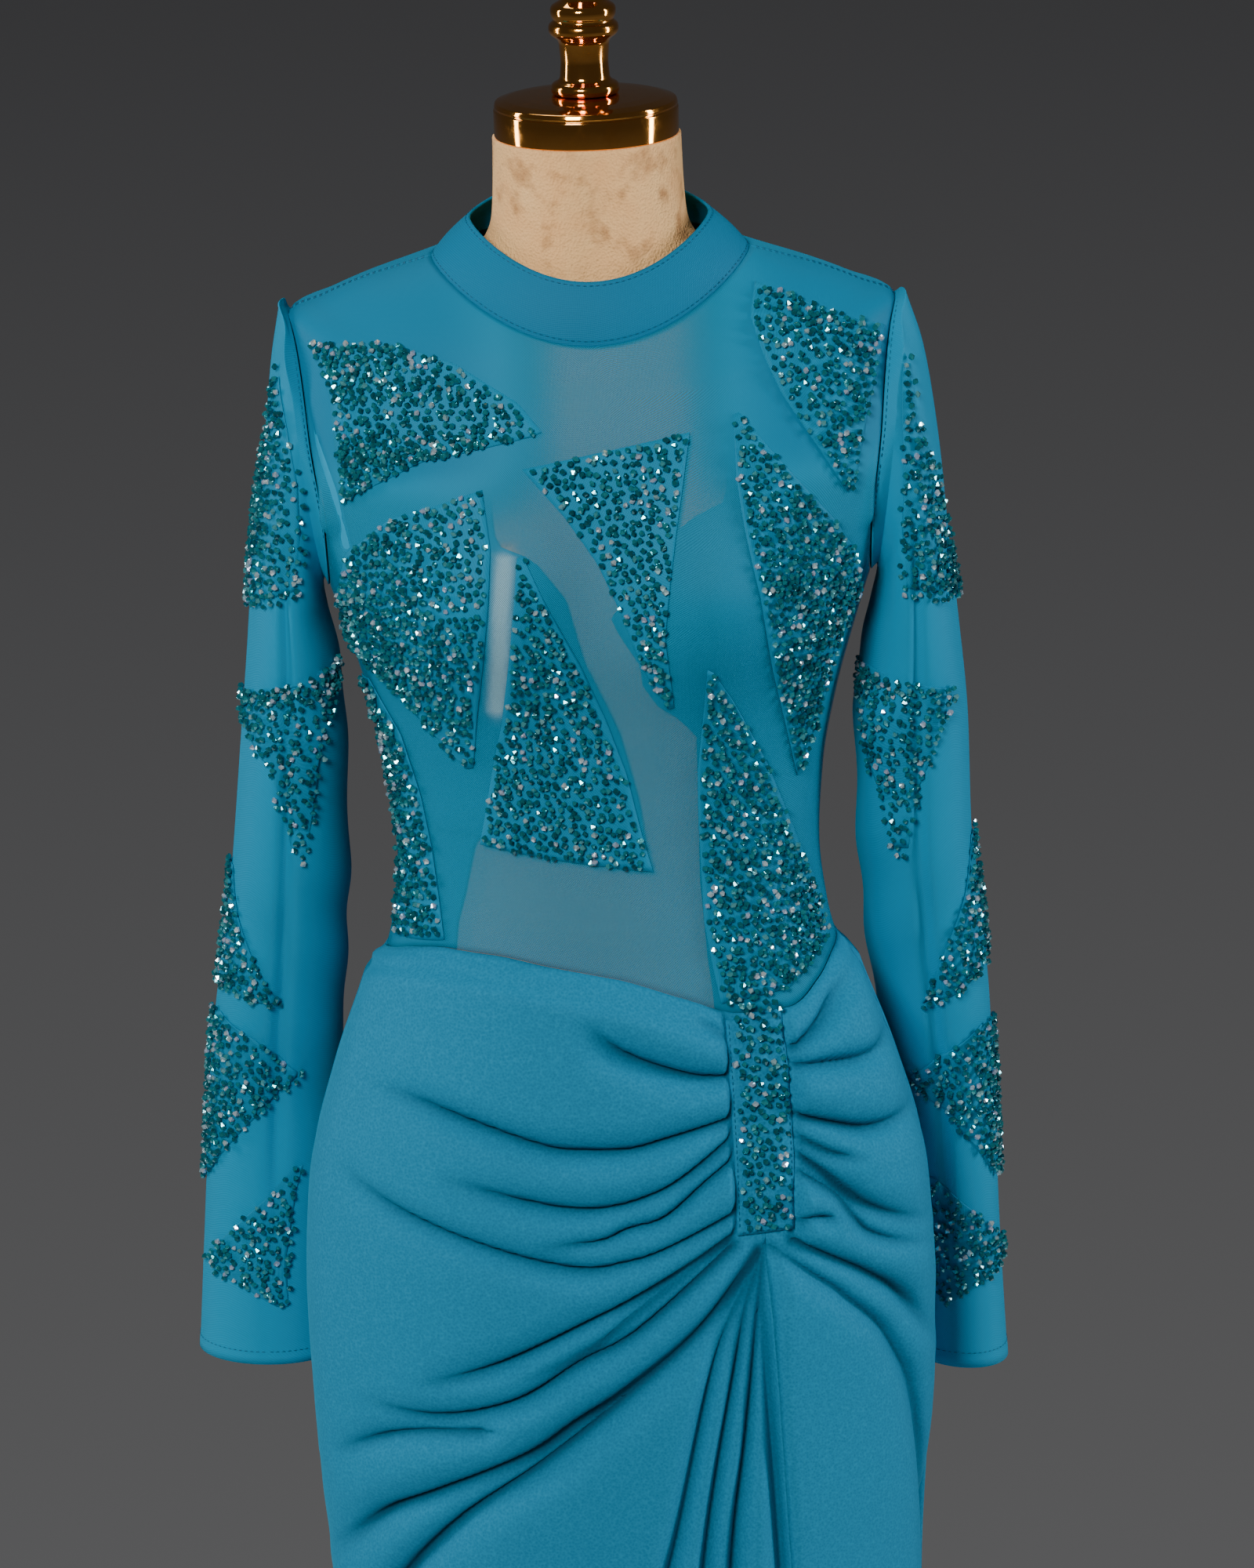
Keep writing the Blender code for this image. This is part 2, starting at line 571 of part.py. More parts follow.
def place(name, mesh, material, parent=None):
    """Link a mesh as a named object of the part."""
    thing = bpy.data.objects.new(name, mesh)
    mesh.materials.append(get_material(material))
    bpy.data.collections[COLLECTION].objects.link(thing)
    thing.parent = parent
    return thing


def loft(name, rows, closed=False, flip=False, caps=False):
    """A mesh between rows of points, each four split by the same diagonal.

    Walls made from the same points then stay apart wherever they lie.
    """
    count = len(rows[0])
    points = [tuple(point) for row in rows for point in row]
    faces = []
    for r in range(len(rows) - 1):
        for c in range(count if closed else count - 1):
            after = (c + 1) % count
            low, high = r * count, (r + 1) * count
            faces.append((low + c, low + after, high + after))
            faces.append((low + c, high + after, high + c))
    if flip:
        faces = [face[::-1] for face in faces]
    if caps:
        last = (len(rows) - 1) * count
        bottom = tuple(range(count))[::-1]
        top = tuple(range(last, last + count))
        faces += [bottom[::-1], top[::-1]] if flip else [bottom, top]
    mesh = bpy.data.meshes.new(name)
    mesh.from_pydata(points, [], faces)
    mesh.update()
    return mesh


def cloth(name, rows, wall, material, closed=False, flip=False):
    """A wall of cloth: an open surface thickened toward its inside."""
    thing = place(name, loft(name, rows, closed, flip), material)
    shell = thing.modifiers.new("wall", "SOLIDIFY")
    shell.thickness = wall
    shell.offset = -1.0
    shell.use_even_offset = False
    return thing


def turned(name, profile, material, steps=32):
    """A turned piece from a profile of (radius, height) points."""
    mesh = bpy.data.meshes.new(name)
    points = [(radius, 0.0, height) for radius, height in profile]
    mesh.from_pydata(points, [(i, i + 1) for i in range(len(points) - 1)], [])
    thing = place(name, mesh, material)
    screw = thing.modifiers.new("turn", "SCREW")
    screw.steps = steps
    screw.render_steps = steps
    screw.use_merge_vertices = True
    screw.merge_threshold = 0.00001
    screw.use_normal_flip = True
    return thing


def bodice_levels():
    """The levels of the bodice's rows, from the waist seam to the neck."""
    low = level_at(WAIST_SIDE)
    levels = [low + (14.0 - low) * step / 6 for step in range(7)]
    return levels + arm_levels() + [18.2, 19.6, float(NECK_LEVEL)]


def bodice_rows(columns, sides):
    """Levels and angles of a bodice panel between two edges."""
    low = level_at(WAIST_SIDE)
    rows = []
    for level in bodice_levels():
        left, right = sides(level)
        row = []
        for column in range(columns + 1):
            angle = left + (right - left) * column / columns
            row.append((angle, waist_shift(angle, level, low)))
        rows.append(row)
    return rows


def waist_shift(angle, level, low):
    """Bend a bodice row's level toward the waist seam."""
    if abs(angle) > 90:
        return level
    upper = level_at(WAIST_BLEND_UP)
    return level + (level_at(seam_height(angle)) - low) * clamp((upper - level) / (upper - low))


def side_edge(level):
    """The angle where a bodice panel ends: side seam, armhole or shoulder."""
    return 90 - arm_opening(level) - angle_of(SEAM_GAP / 2, level)


def front_rows():
    """Angles and levels of the bodice front's points."""
    return bodice_rows(FRONT_COLUMNS, lambda level: (-side_edge(level), side_edge(level)))


def make_bodice():
    """Mesh bodice: one front, two backs that meet at the zip."""
    def points(rows):
        lifted = [[body_point(angle, level) for angle, level in row] for row in rows]
        for point in lifted[0]:
            point.z += WAIST_GAP / 2
        for point in lifted[-1]:
            point.z -= SEAM_GAP / 2
        return lifted

    def back_edge(level):
        on_shoulder = level > ARM_MIDDLE + ARM_HALF * 0.98
        return side_edge(level) - (angle_of(SHOULDER_GAP, level) if on_shoulder else 0.0)

    def back_left(level):
        return 180 - back_edge(level), 180 - angle_of(SEAM_GAP / 2, level)

    def back_right(level):
        return 180 + angle_of(SEAM_GAP / 2, level), 180 + back_edge(level)

    cloth("bodice_front", points(front_rows()), MESH_WALL, "mesh")
    for name, sides in (("bodice_back_left", back_left), ("bodice_back_right", back_right)):
        cloth(name, points(bodice_rows(BACK_COLUMNS, sides)), MESH_WALL, "mesh")


def near_outline(rows, outline):
    """The part of a grid of points that an outline reaches from the front."""
    low_x = min(x for x, _ in outline) - REACH
    high_x = max(x for x, _ in outline) + REACH
    low_z = min(z for _, z in outline) - REACH
    high_z = max(z for _, z in outline) + REACH

    def inside(point):
        return low_x < point.x < high_x and low_z < point.z < high_z

    used_rows = [r for r, row in enumerate(rows) if any(inside(point) for point in row)]
    used_columns = [c for c in range(len(rows[0])) if any(inside(row[c]) for row in rows)]
    return [row[used_columns[0]:used_columns[-1] + 1]
            for row in rows[used_rows[0]:used_rows[-1] + 1]]


def prism(name, outline, front, back):
    """A cutter: an outline seen from the front, as deep as the cloth."""
    mesh = bpy.data.meshes.new(name)
    mesh.from_pydata([(x, front, z) for x, z in outline], [], [tuple(range(len(outline)))])
    cutter = bpy.data.objects.new(name, mesh)
    bpy.data.collections["cutters"].objects.link(cutter)
    cutter.hide_render = True
    depth = cutter.modifiers.new("depth", "SOLIDIFY")
    depth.thickness = back - front
    depth.offset = -1.0 if mesh.polygons[0].normal.y < 0 else 1.0
    return cutter


def cut_cloth(name, rows, outline, wall, material, flip=False):
    """A wall of cloth kept only inside an outline seen from the front."""
    rows = near_outline(rows, outline)
    thing = cloth(name, rows, wall, material, flip=flip)
    depths = [point.y for row in rows for point in row]
    cutter = prism(name + "_outline", outline, min(depths) - 0.02, max(depths) + 0.02)
    keep = thing.modifiers.new("outline", "BOOLEAN")
    keep.operation = "INTERSECT"
    keep.object = cutter


def make_linings():
    """Partial linings seen through the mesh, from each side to a bare band."""
    rows = [[body_point(angle, level, -LINING_INSET) for angle, level in row]
            for row in front_rows()[:-1]]
    for name, edge, hand in (("lining_left", LEFT_LINING_EDGE, 1),
                             ("lining_right", RIGHT_LINING_EDGE, -1)):
        outline = [(x, z) for z, x in edge]
        outline += [(hand * x, z) for x, z in LINING_CORNERS]
        cut_cloth(name, rows, outline, LINING_WALL, "lining")


def make_collar():
    """Stand collar around the neck seam, parted at the zip."""
    start = angle_of(SEAM_GAP / 2, NECK_LEVEL) - 180
    rows = []
    for r in range(COLLAR_ROWS + 1):
        share = r / COLLAR_ROWS
        row = []
        for c in range(COLLAR_COLUMNS + 1):
            angle = start - 2 * start * c / COLLAR_COLUMNS
            row.append(collar_point(angle, share))
        rows.append(row)
    cloth("collar", rows, COLLAR_WALL, "mesh")


def collar_point(angle, share, out=0.0):
    """A point of the collar, from its seam (share 0) to its top (share 1)."""
    half_x, half_y, z_front, z_side, z_back = COLLAR_TOP
    foot = body_point(angle, NECK_LEVEL)
    foot.z += SEAM_GAP
    turn = math.radians(angle)
    ahead = abs(math.cos(turn))
    end = z_front if math.cos(turn) > 0 else z_back
    top = Vector((half_x * math.sin(turn), -half_y * math.cos(turn),
                  z_side + (end - z_side) * ahead * ahead))
    bulge = COLLAR_BULGE * math.sin(math.pi * share) + out
    outward = Vector((math.sin(turn), -math.cos(turn), 0.0))
    return foot.lerp(top, share) + outward * bulge


def bent_level(level, angle):
    """Bend a skirt row's level toward the waist seam."""
    if abs(angle) > 90:
        return level
    low = level_at(WAIST_SIDE)
    end = level_at(WAIST_BLEND_DOWN)
    shift = level_at(seam_height(angle)) - low
    return level + shift * clamp((level - end) / (low - end))


def skirt_rows(heights, columns):
    """Points of a skirt panel, with its columns given as angles by level."""
    rows = []
    for height in heights:
        level = level_at(height)
        here = bent_level(level, STRIP_ANGLE)
        row = [skirt_point(angle, bent_level(level, angle))
               for angle in columns(here, ring_at(here)[4])]
        rows.append(row)
    for point in rows[0]:
        point.z -= WAIST_GAP / 2
    return rows


def strip_edges(height):
    """Left and right edge of the strip's footprint at a height."""
    left = along([(row[0], row[1]) for row in STRIP], height)
    right = along([(row[0], row[2]) for row in STRIP], height)
    return left, right


def make_skirt():
    """Front drape, front side panel and back, gathered at the strip."""
    def drape(level, height):
        meet = along(SKIRT_DIVISION, height)
        under = min(strip_edges(height)[0] - 0.001, meet - 0.008)
        start = angle_of(SEAM_GAP / 2, level) - 90
        stop = angle_at(under, level)
        shares = [1 - (1 - c / 21) ** 1.15 for c in range(22)]
        angles = [start + (stop - start) * share for share in shares]
        return angles + [angle_at((under + meet) / 2, level),
                         angle_at(meet - SEAM_GAP / 2, level)]

    def side(level, height):
        meet = along(SKIRT_DIVISION, height)
        under = max(strip_edges(height)[1] + 0.001, meet + 0.008)
        start = angle_at(under, level)
        stop = 90 - angle_of(SEAM_GAP / 2, level)
        angles = [start + (stop - start) * (c / 9) for c in range(10)]
        return [angle_at(meet + SEAM_GAP / 2, level),
                angle_at((under + meet) / 2, level)] + angles

    def back(level, height):
        gap = angle_of(SEAM_GAP / 2, level)
        return [90 + gap + (180 - 2 * gap) * c / 16 for c in range(17)]

    cloth("skirt_front_drape", skirt_rows(SKIRT_ROWS, drape), SKIRT_WALL, "crepe", flip=True)
    cloth("skirt_front_side", skirt_rows(SKIRT_ROWS, side), SKIRT_WALL, "crepe", flip=True)
    cloth("skirt_back", skirt_rows(BACK_SKIRT_ROWS, back), SKIRT_WALL, "crepe", flip=True)


def make_strip():
    """The narrow beaded strip that holds the gathers."""
    rows = []
    top = STRIP[0][0]
    for r in range(11):
        height = top + (STRIP_BOTTOM - top) * r / 10
        left, right = strip_edges(height)
        level = level_at(height)
        row = []
        for c in range(5):
            angle = angle_at(left + (right - left) * c / 4, level)
            row.append(body_point(angle, level, STRIP_LIFT + STRIP_WALL))
        rows.append(row)
    cloth("beaded_strip", rows, STRIP_WALL, "beads", flip=True)


def make_bodice_patches():
    """Beaded patches: the bodice front's points moved out, cut to outlines."""
    rows = [[body_point(angle, level, TRIM_LIFT + TRIM_WALL) for angle, level in row]
            for row in front_rows()]
    for name, table in BODICE_PATCHES.items():
        outline = [left for left, _ in table] + [right for _, right in reversed(table)]
        cut_cloth("patch_" + name, rows, outline, TRIM_WALL, "beads")


def sleeve_table_row(table, position):
    """A row of a sleeve's table at a fractional index."""
    return [eased(list(column), position) for column in zip(*table)]


def sleeve_surface(table, turn, position):
    """A point of a sleeve; a turn of 0 is its front and 90 its outer edge.

    A position from -1 to 0 runs from the armhole's edge to the first row.
    """
    sine, cosine = math.sin(math.radians(turn)), math.cos(math.radians(turn))
    row = sleeve_table_row(table, max(position, 0.0))
    outer_x, outer_z, inner_x, inner_z, middle_y, half_depth = row
    point = Vector(((outer_x + inner_x + (outer_x - inner_x) * sine) / 2,
                    middle_y - half_depth * cosine,
                    (outer_z + inner_z + (outer_z - inner_z) * sine) / 2))
    if position >= 0:
        return point
    edge = body_point(90 - ARM_OPEN * cosine, ARM_MIDDLE + ARM_HALF * sine)
    edge.x += SLEEVE_GAP
    return edge.lerp(point, position + 1)


def sleeve_point(table, hand, turn, position, out=0.0):
    """A point of the left (1) or right (-1) sleeve, moved out from it."""
    point = sleeve_surface(table, turn, position)
    if out:
        low, high = max(position - 0.05, 0.0), min(position + 0.05, len(table) - 1)
        around = sleeve_surface(table, turn + 1, position)
        around -= sleeve_surface(table, turn - 1, position)
        upward = sleeve_surface(table, turn, low) - sleeve_surface(table, turn, high)
        point += around.cross(upward).normalized() * out
    point.x *= hand
    return point


def make_sleeves():
    """Two long sleeves from armhole to cuff, open at both ends."""
    for name, table, hand in (("sleeve_left", LEFT_SLEEVE, 1),
                              ("sleeve_right", RIGHT_SLEEVE, -1)):
        last = len(table) - 1
        positions = [-1.0, -0.4] + [last * r / SLEEVE_STEPS for r in range(SLEEVE_STEPS + 1)]
        turns = [360 * c / ARM_STEPS for c in range(ARM_STEPS)]
        rows = [[sleeve_point(table, hand, turn, position) for turn in turns]
                for position in positions]
        cloth(name, rows, SLEEVE_WALL, "mesh", closed=True, flip=hand > 0)


def sleeve_position(table, turn, height):
    """The position along a sleeve at which a turn lies at a height."""
    low, high = 0.0, float(len(table) - 1)
    for _ in range(28):
        middle = (low + high) / 2
        if sleeve_point(table, 1, turn, middle).z > height:
            low = middle
        else:
            high = middle
    return (low + high) / 2


def make_sleeve_patches():
    """Beaded patches down the front of each sleeve."""
    sleeves = (("left", LEFT_SLEEVE, 1, LEFT_SLEEVE_PATCHES),
               ("right", RIGHT_SLEEVE, -1, RIGHT_SLEEVE_PATCHES))
    quarter = ARM_STEPS // 4
    turns = [90 * c / quarter for c in range(-quarter, quarter + 1)]
    for side, table, hand, patches in sleeves:
        last = len(table) - 1
        rows = [[sleeve_point(table, hand, turn, last * r / SLEEVE_STEPS,
                              TRIM_LIFT + TRIM_WALL) for turn in turns]
                for r in range(SLEEVE_STEPS + 1)]
        for name, bands in patches.items():
            near = [sleeve_place(table, hand, *place) for place, _ in bands]
            far = [sleeve_place(table, hand, *place) for _, place in bands]
            cut_cloth(f"patch_sleeve_{side}_{name}", rows, near + far[::-1],
                      TRIM_WALL, "beads", flip=hand > 0)


def sleeve_place(table, hand, height, turn):
    """Where a turn of a sleeve lies at a height, as x and z from the front."""
    point = sleeve_point(table, hand, turn, sleeve_position(table, turn, height))
    past = PAST_EDGE if turn > 75 else 0.0
    return point.x + hand * past, point.z


def make_form():
    """Padded torso and neck of the dress form, closed and smooth."""
    low = level_at(WAIST_SIDE)
    levels = [FORM_LEVEL + (low - FORM_LEVEL) * r / 5 for r in range(5)]
    levels += bodice_levels()[:8] + bodice_levels()[8::2]
    steps = FORM_STEPS
    rows = []
    for level in levels:
        rows.append([body_point(360 * c / steps, level, -FORM_INSET) for c in range(steps)])
    neck = (
        (0.0600, 0.0540, 1.452, 1.478, 1.484), (0.0545, 0.0530, 1.478, 1.492, 1.498),
        (0.0530, 0.0530, 1.508, 1.514, 1.516), (NECK_RADIUS, NECK_RADIUS, 1.536, 1.536, 1.536),
    )
    for half_x, half_y, z_front, z_side, z_back in neck:
        row = []
        for c in range(steps):
            turn = 2 * math.pi * c / steps
            end = z_front if math.cos(turn) > 0 else z_back
            row.append((half_x * math.sin(turn), -half_y * math.cos(turn),
                        z_side + (end - z_side) * math.cos(turn) ** 2))
        rows.append(row)
    place("form_body", loft("form_body", rows, closed=True, caps=True), "velvet")


def make_stand():
    """Neck cap with its finial, and the pole on its round base."""
    top = CAP_BOTTOM + CAP_BAND
    turned("neck_cap", (
        (0.0, CAP_BOTTOM), (CAP_RADIUS, CAP_BOTTOM), (CAP_RADIUS, top - 0.002),
        (CAP_RADIUS - 0.002, top), (0.036, top + 0.0025), (0.018, top + 0.0035),
        (0.0, top + 0.0035),
    ), "brass", 20)
    foot = top + 0.0038
    turned("finial", (
        (0.0, foot), (0.0185, foot), (0.0192, foot + 0.003), (0.0185, foot + 0.006),
        (0.0140, foot + 0.008), (0.0132, foot + 0.018), (0.0142, foot + 0.030),
        (0.0195, foot + 0.034), (0.0195, foot + 0.039), (0.0165, foot + 0.041),
        (0.0182, foot + 0.044), (0.0182, foot + 0.049), (0.0110, foot + 0.053),
        (0.0105, foot + 0.057), (0.0145, foot + 0.064), (0.0135, foot + 0.074),
        (0.0070, foot + 0.080), (0.0, foot + 0.082),
    ), "brass", 12)
    form_foot = ring_at(FORM_LEVEL)[4]
    pole_foot = BASE_HUB_TOP + SEAM_GAP
    flange = form_foot - SEAM_GAP
    turned("pole", (
        (0.0, pole_foot), (POLE_RADIUS, pole_foot), (POLE_RADIUS, flange - 0.020),
        (0.020, flange - 0.016), (0.045, flange - 0.006), (0.045, flange),
        (0.0, flange),
    ), "brass", 12)
    turned("base", (
        (0.0, 0.0), (BASE_RADIUS - 0.002, 0.0), (BASE_RADIUS, 0.003),
        (BASE_RADIUS, BASE_EDGE - 0.003), (BASE_RADIUS - 0.003, BASE_EDGE),
        (0.100, 0.019), (0.050, 0.025), (0.028, 0.033), (0.022, BASE_HUB_TOP),
        (0.0, BASE_HUB_TOP),
    ), "brass", 20)


def make_zip():
    """Tape under the centre back seam, slider on the collar, pull tab."""
    levels = [level_at(height) for height in reversed(BACK_SKIRT_ROWS[1:])
              if height >= TAPE_FOOT]
    rows = []
    for level in levels + bodice_levels()[:-2]:
        half = angle_of(TAPE_HALF, level)
        rows.append([body_point(180 + half * c, level, -TAPE_INSET) for c in (-1, 0, 1)])
    cloth("zip_tape", rows, TAPE_WALL, "zip_tape")

    seat = collar_point(180, SLIDER_SHARE, 0.0)
    below = collar_point(180, SLIDER_SHARE - 0.2, 0.0)
    lean = math.atan2(below.y - seat.y, seat.z - below.z)
    frame = Matrix.Translation(seat) @ Matrix.Rotation(lean, 4, "X")
    face = 0.0006
    top = face + SLIDER_THICK

    slider = bmesh.new()
    bmesh.ops.create_cube(slider, size=1.0)
    bmesh.ops.scale(slider, vec=(SLIDER_WIDTH, SLIDER_THICK, SLIDER_LENGTH), verts=slider.verts)
    bmesh.ops.translate(slider, vec=(0, face + SLIDER_THICK / 2, 0), verts=slider.verts)
    mesh = bpy.data.meshes.new("zip_slider")
    slider.to_mesh(mesh)
    slider.free()
    body = place("zip_slider", mesh, "zip_metal")
    body.matrix_world = frame
    bail = make_bail(top)
    join = body.modifiers.new("bail", "BOOLEAN")
    join.operation = "UNION"
    join.object = bail
    bail.matrix_world = frame

    axis_y = top + SEAM_GAP + PULL_THICK / 2
    pull = place("zip_pull", pull_mesh(), "zip_metal")
    pull.matrix_world = frame @ Matrix.Translation((0, axis_y, 0))


def make_bail(foot):
    """The bridge on the slider that the pull tab hangs from."""
    rise = foot + BAIL_RISE
    thick = 0.0008
    outline = ((BAIL_REACH, foot - 0.0005), (BAIL_REACH, rise - 0.0008),
               (BAIL_REACH - 0.0012, rise), (-BAIL_REACH + 0.0012, rise),
               (-BAIL_REACH, rise - 0.0008), (-BAIL_REACH, foot - 0.0005),
               (-BAIL_REACH + thick, foot - 0.0005), (-BAIL_REACH + thick, rise - 0.0011),
               (-BAIL_REACH + 0.0014, rise - thick), (BAIL_REACH - 0.0014, rise - thick),
               (BAIL_REACH - thick, rise - 0.0011), (BAIL_REACH - thick, foot - 0.0005))
    mesh = bpy.data.meshes.new("bail")
    mesh.from_pydata([(-BAIL_WIDTH / 2, y, z) for z, y in outline], [],
                     [tuple(range(len(outline)))])
    bail = bpy.data.objects.new("bail", mesh)
    cutters = bpy.data.collections["cutters"]
    cutters.objects.link(bail)
    bail.hide_render = True
    shell = bail.modifiers.new("width", "SOLIDIFY")
    shell.thickness = BAIL_WIDTH
    shell.offset = -1.0 if mesh.polygons[0].normal.x < 0 else 1.0
    return bail


def pull_mesh():
    """A flat tab with a window at its top, around its joint's axis."""
    half, window = PULL_WIDTH / 2, PULL_HOLE_WIDTH / 2
    top, end = PULL_BAR, -PULL_LENGTH
    inner_top, inner_end = -PULL_BAR, -PULL_HOLE
    outer = [(-half, top), (half, top), (half, inner_end - 0.003), (half * 0.8, end + 0.002),
             (half * 0.5, end), (-half * 0.5, end), (-half * 0.8, end + 0.002),
             (-half, inner_end - 0.003)]
    inner = [(-window, inner_top), (window, inner_top), (window, inner_end),
             (-window, inner_end)]
    tab = bmesh.new()
    flat = [tab.verts.new((x, -PULL_THICK / 2, z)) for x, z in outer + inner]
    strips = ((0, 1, 9, 8), (1, 2, 10, 9), (2, 3, 4, 5, 6, 7, 11, 10), (7, 0, 8, 11))
    faces = [tab.faces.new([flat[i] for i in strip]) for strip in strips]
    bmesh.ops.recalc_face_normals(tab, faces=faces)
    grown = bmesh.ops.extrude_face_region(tab, geom=faces)
    moved = [item for item in grown["geom"] if isinstance(item, bmesh.types.BMVert)]
    bmesh.ops.translate(tab, vec=(0, PULL_THICK, 0), verts=moved)
    bmesh.ops.recalc_face_normals(tab, faces=tab.faces)
    mesh = bpy.data.meshes.new("zip_pull")
    tab.to_mesh(mesh)
    tab.free()
    return mesh


def main():
    """Clear the scene and build every piece."""
    for thing in list(bpy.data.objects):
        bpy.data.objects.remove(thing, do_unlink=True)
    get_collection(COLLECTION)
    get_collection("cutters").hide_render = True
    make_form()
    make_stand()
    make_bodice()
    make_linings()
    make_collar()
    make_skirt()
    make_strip()
    make_bodice_patches()
    make_sleeves()
    make_sleeve_patches()
    make_zip()


main()
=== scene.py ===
"""Evening dress on a dress form: its looks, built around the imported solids.

The dress is a surface round an upright axis: an angle of 0 is centre front,
90 the wearer's left side and 180 centre back, and a level runs from the hem
(0) up to the neck seam (21). Everything on it is worked out as whole arrays.
"""
import math

import bpy
import numpy as np
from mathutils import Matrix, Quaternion, Vector


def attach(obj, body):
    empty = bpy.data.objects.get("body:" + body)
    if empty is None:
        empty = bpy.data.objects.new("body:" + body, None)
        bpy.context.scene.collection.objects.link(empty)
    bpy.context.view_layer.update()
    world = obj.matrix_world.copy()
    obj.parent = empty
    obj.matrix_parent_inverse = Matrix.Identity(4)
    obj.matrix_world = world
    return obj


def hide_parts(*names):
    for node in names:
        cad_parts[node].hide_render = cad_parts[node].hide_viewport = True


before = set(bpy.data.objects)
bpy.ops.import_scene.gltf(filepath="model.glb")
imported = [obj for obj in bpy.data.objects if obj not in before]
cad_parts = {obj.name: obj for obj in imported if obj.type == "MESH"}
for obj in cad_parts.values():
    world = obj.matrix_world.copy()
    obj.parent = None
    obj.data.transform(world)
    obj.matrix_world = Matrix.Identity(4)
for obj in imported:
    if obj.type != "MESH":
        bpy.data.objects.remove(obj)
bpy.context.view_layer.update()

BODY = "dress_on_form"

# Cloth walls and how far layers lie from each other
NET_WALL = 0.0007
LINING_WALL = 0.0006
CREPE_WALL = 0.0012
SLEEVE_WALL = 0.0010
COLLAR_WALL = 0.0014
STRIP_WALL = 0.0018
TAPE_WALL = 0.0006
PATCH_WALL = 0.0004
PATCH_LIFT = 0.0003
STRIP_TOP = 0.0026
SLEEVE_GAP = 0.0004
LINING_INSET = 0.0018
TAPE_INSET = 0.0021
FORM_INSET = 0.0056

# Rings of the dress from the hem up: half width, depth in front and behind,
# height in front, at the side and behind, and the squareness of the ring
NECK_LEVEL = 21.0
RINGS = np.array((
    (0.262, 0.215, 0.262, 0.02, 0.02, 0.02, 2.0),
    (0.212, 0.165, 0.2, 0.2, 0.2, 0.2, 2.0),
    (0.178, 0.13, 0.152, 0.38, 0.38, 0.38, 2.1),
    (0.163, 0.113, 0.128, 0.53, 0.53, 0.53, 2.2),
    (0.166, 0.108, 0.121, 0.667, 0.667, 0.667, 2.3),
    (0.173, 0.109, 0.127, 0.78, 0.78, 0.78, 2.3),
    (0.175, 0.109, 0.13, 0.86, 0.86, 0.86, 2.3),
    (0.171, 0.107, 0.123, 0.93, 0.93, 0.93, 2.3),
    (0.156, 0.101, 0.109, 0.99, 0.99, 0.99, 2.25),
    (0.1365, 0.092, 0.094, 1.045, 1.045, 1.045, 2.2),
    (0.1255, 0.0865, 0.087, 1.085, 1.085, 1.085, 2.15),
    (0.1215, 0.085, 0.085, 1.125, 1.125, 1.125, 2.15),
    (0.1245, 0.088, 0.087, 1.17, 1.17, 1.17, 2.15),
    (0.133, 0.094, 0.092, 1.215, 1.215, 1.215, 2.2),
    (0.148, 0.102, 0.1, 1.268, 1.268, 1.268, 2.25),
    (0.164, 0.1, 0.105, 1.32, 1.32, 1.32, 2.3),
    (0.1735, 0.092, 0.104, 1.375, 1.375, 1.375, 2.35),
    (0.17, 0.0815, 0.095, 1.404, 1.44, 1.432, 2.1),
    (0.15, 0.0785, 0.09, 1.411, 1.45, 1.446, 2.05),
    (0.128, 0.0755, 0.083, 1.418, 1.459, 1.457, 2.0),
    (0.108, 0.072, 0.0755, 1.425, 1.465, 1.468, 2.0),
    (0.089, 0.069, 0.068, 1.431, 1.4705, 1.478, 2.0),
))

# Bust: where each cup peaks, how far it stands out and its two spreads
CUP_X = 0.068
CUP_Z = 1.292
CUP_RISE = 0.026
CUP_SPREAD_X = 0.046
CUP_SPREAD_Z = 0.050

# Armhole: its middle and half height in levels, half opening in degrees
ARM_MIDDLE = 15.65
ARM_HALF = 1.35
ARM_OPEN = 26.0

# Height of the waist seam every 15 degrees from the right side seam to the
# left one: it dips at the strip on the left hip
WAIST_STEP = 15
WAIST_SEAM = (
    1.066, 1.072, 1.079, 1.083, 1.0825, 1.0775, 1.0705, 1.0575, 1.045, 1.0435, 1.0535, 1.063,
    1.066,
)
WAIST_SIDE = 1.066
WAIST_BLEND_UP = 1.268
WAIST_BLEND_DOWN = 0.900

# The beaded strip: height, then the left and right edge across the front
STRIP = np.array((
    (0.919, 0.0665, 0.0992), (0.96, 0.066, 0.0998), (1.005, 0.0645, 0.0985),
    (1.0425, 0.063, 0.0945),
))
STRIP_BOTTOM, STRIP_HEAD = 0.919, 1.0425
STRIP_ANGLE = 33.0

# Where the two front skirt panels meet, as (z, x): below the strip and behind it
SKIRT_DIVISION = np.array((
    (0.02, 0.13), (0.4, 0.1), (0.71, 0.09), (0.86, 0.084), (0.919, 0.0829), (0.96, 0.0829),
    (1.005, 0.0815), (1.045, 0.0788), (1.1, 0.0788),
))

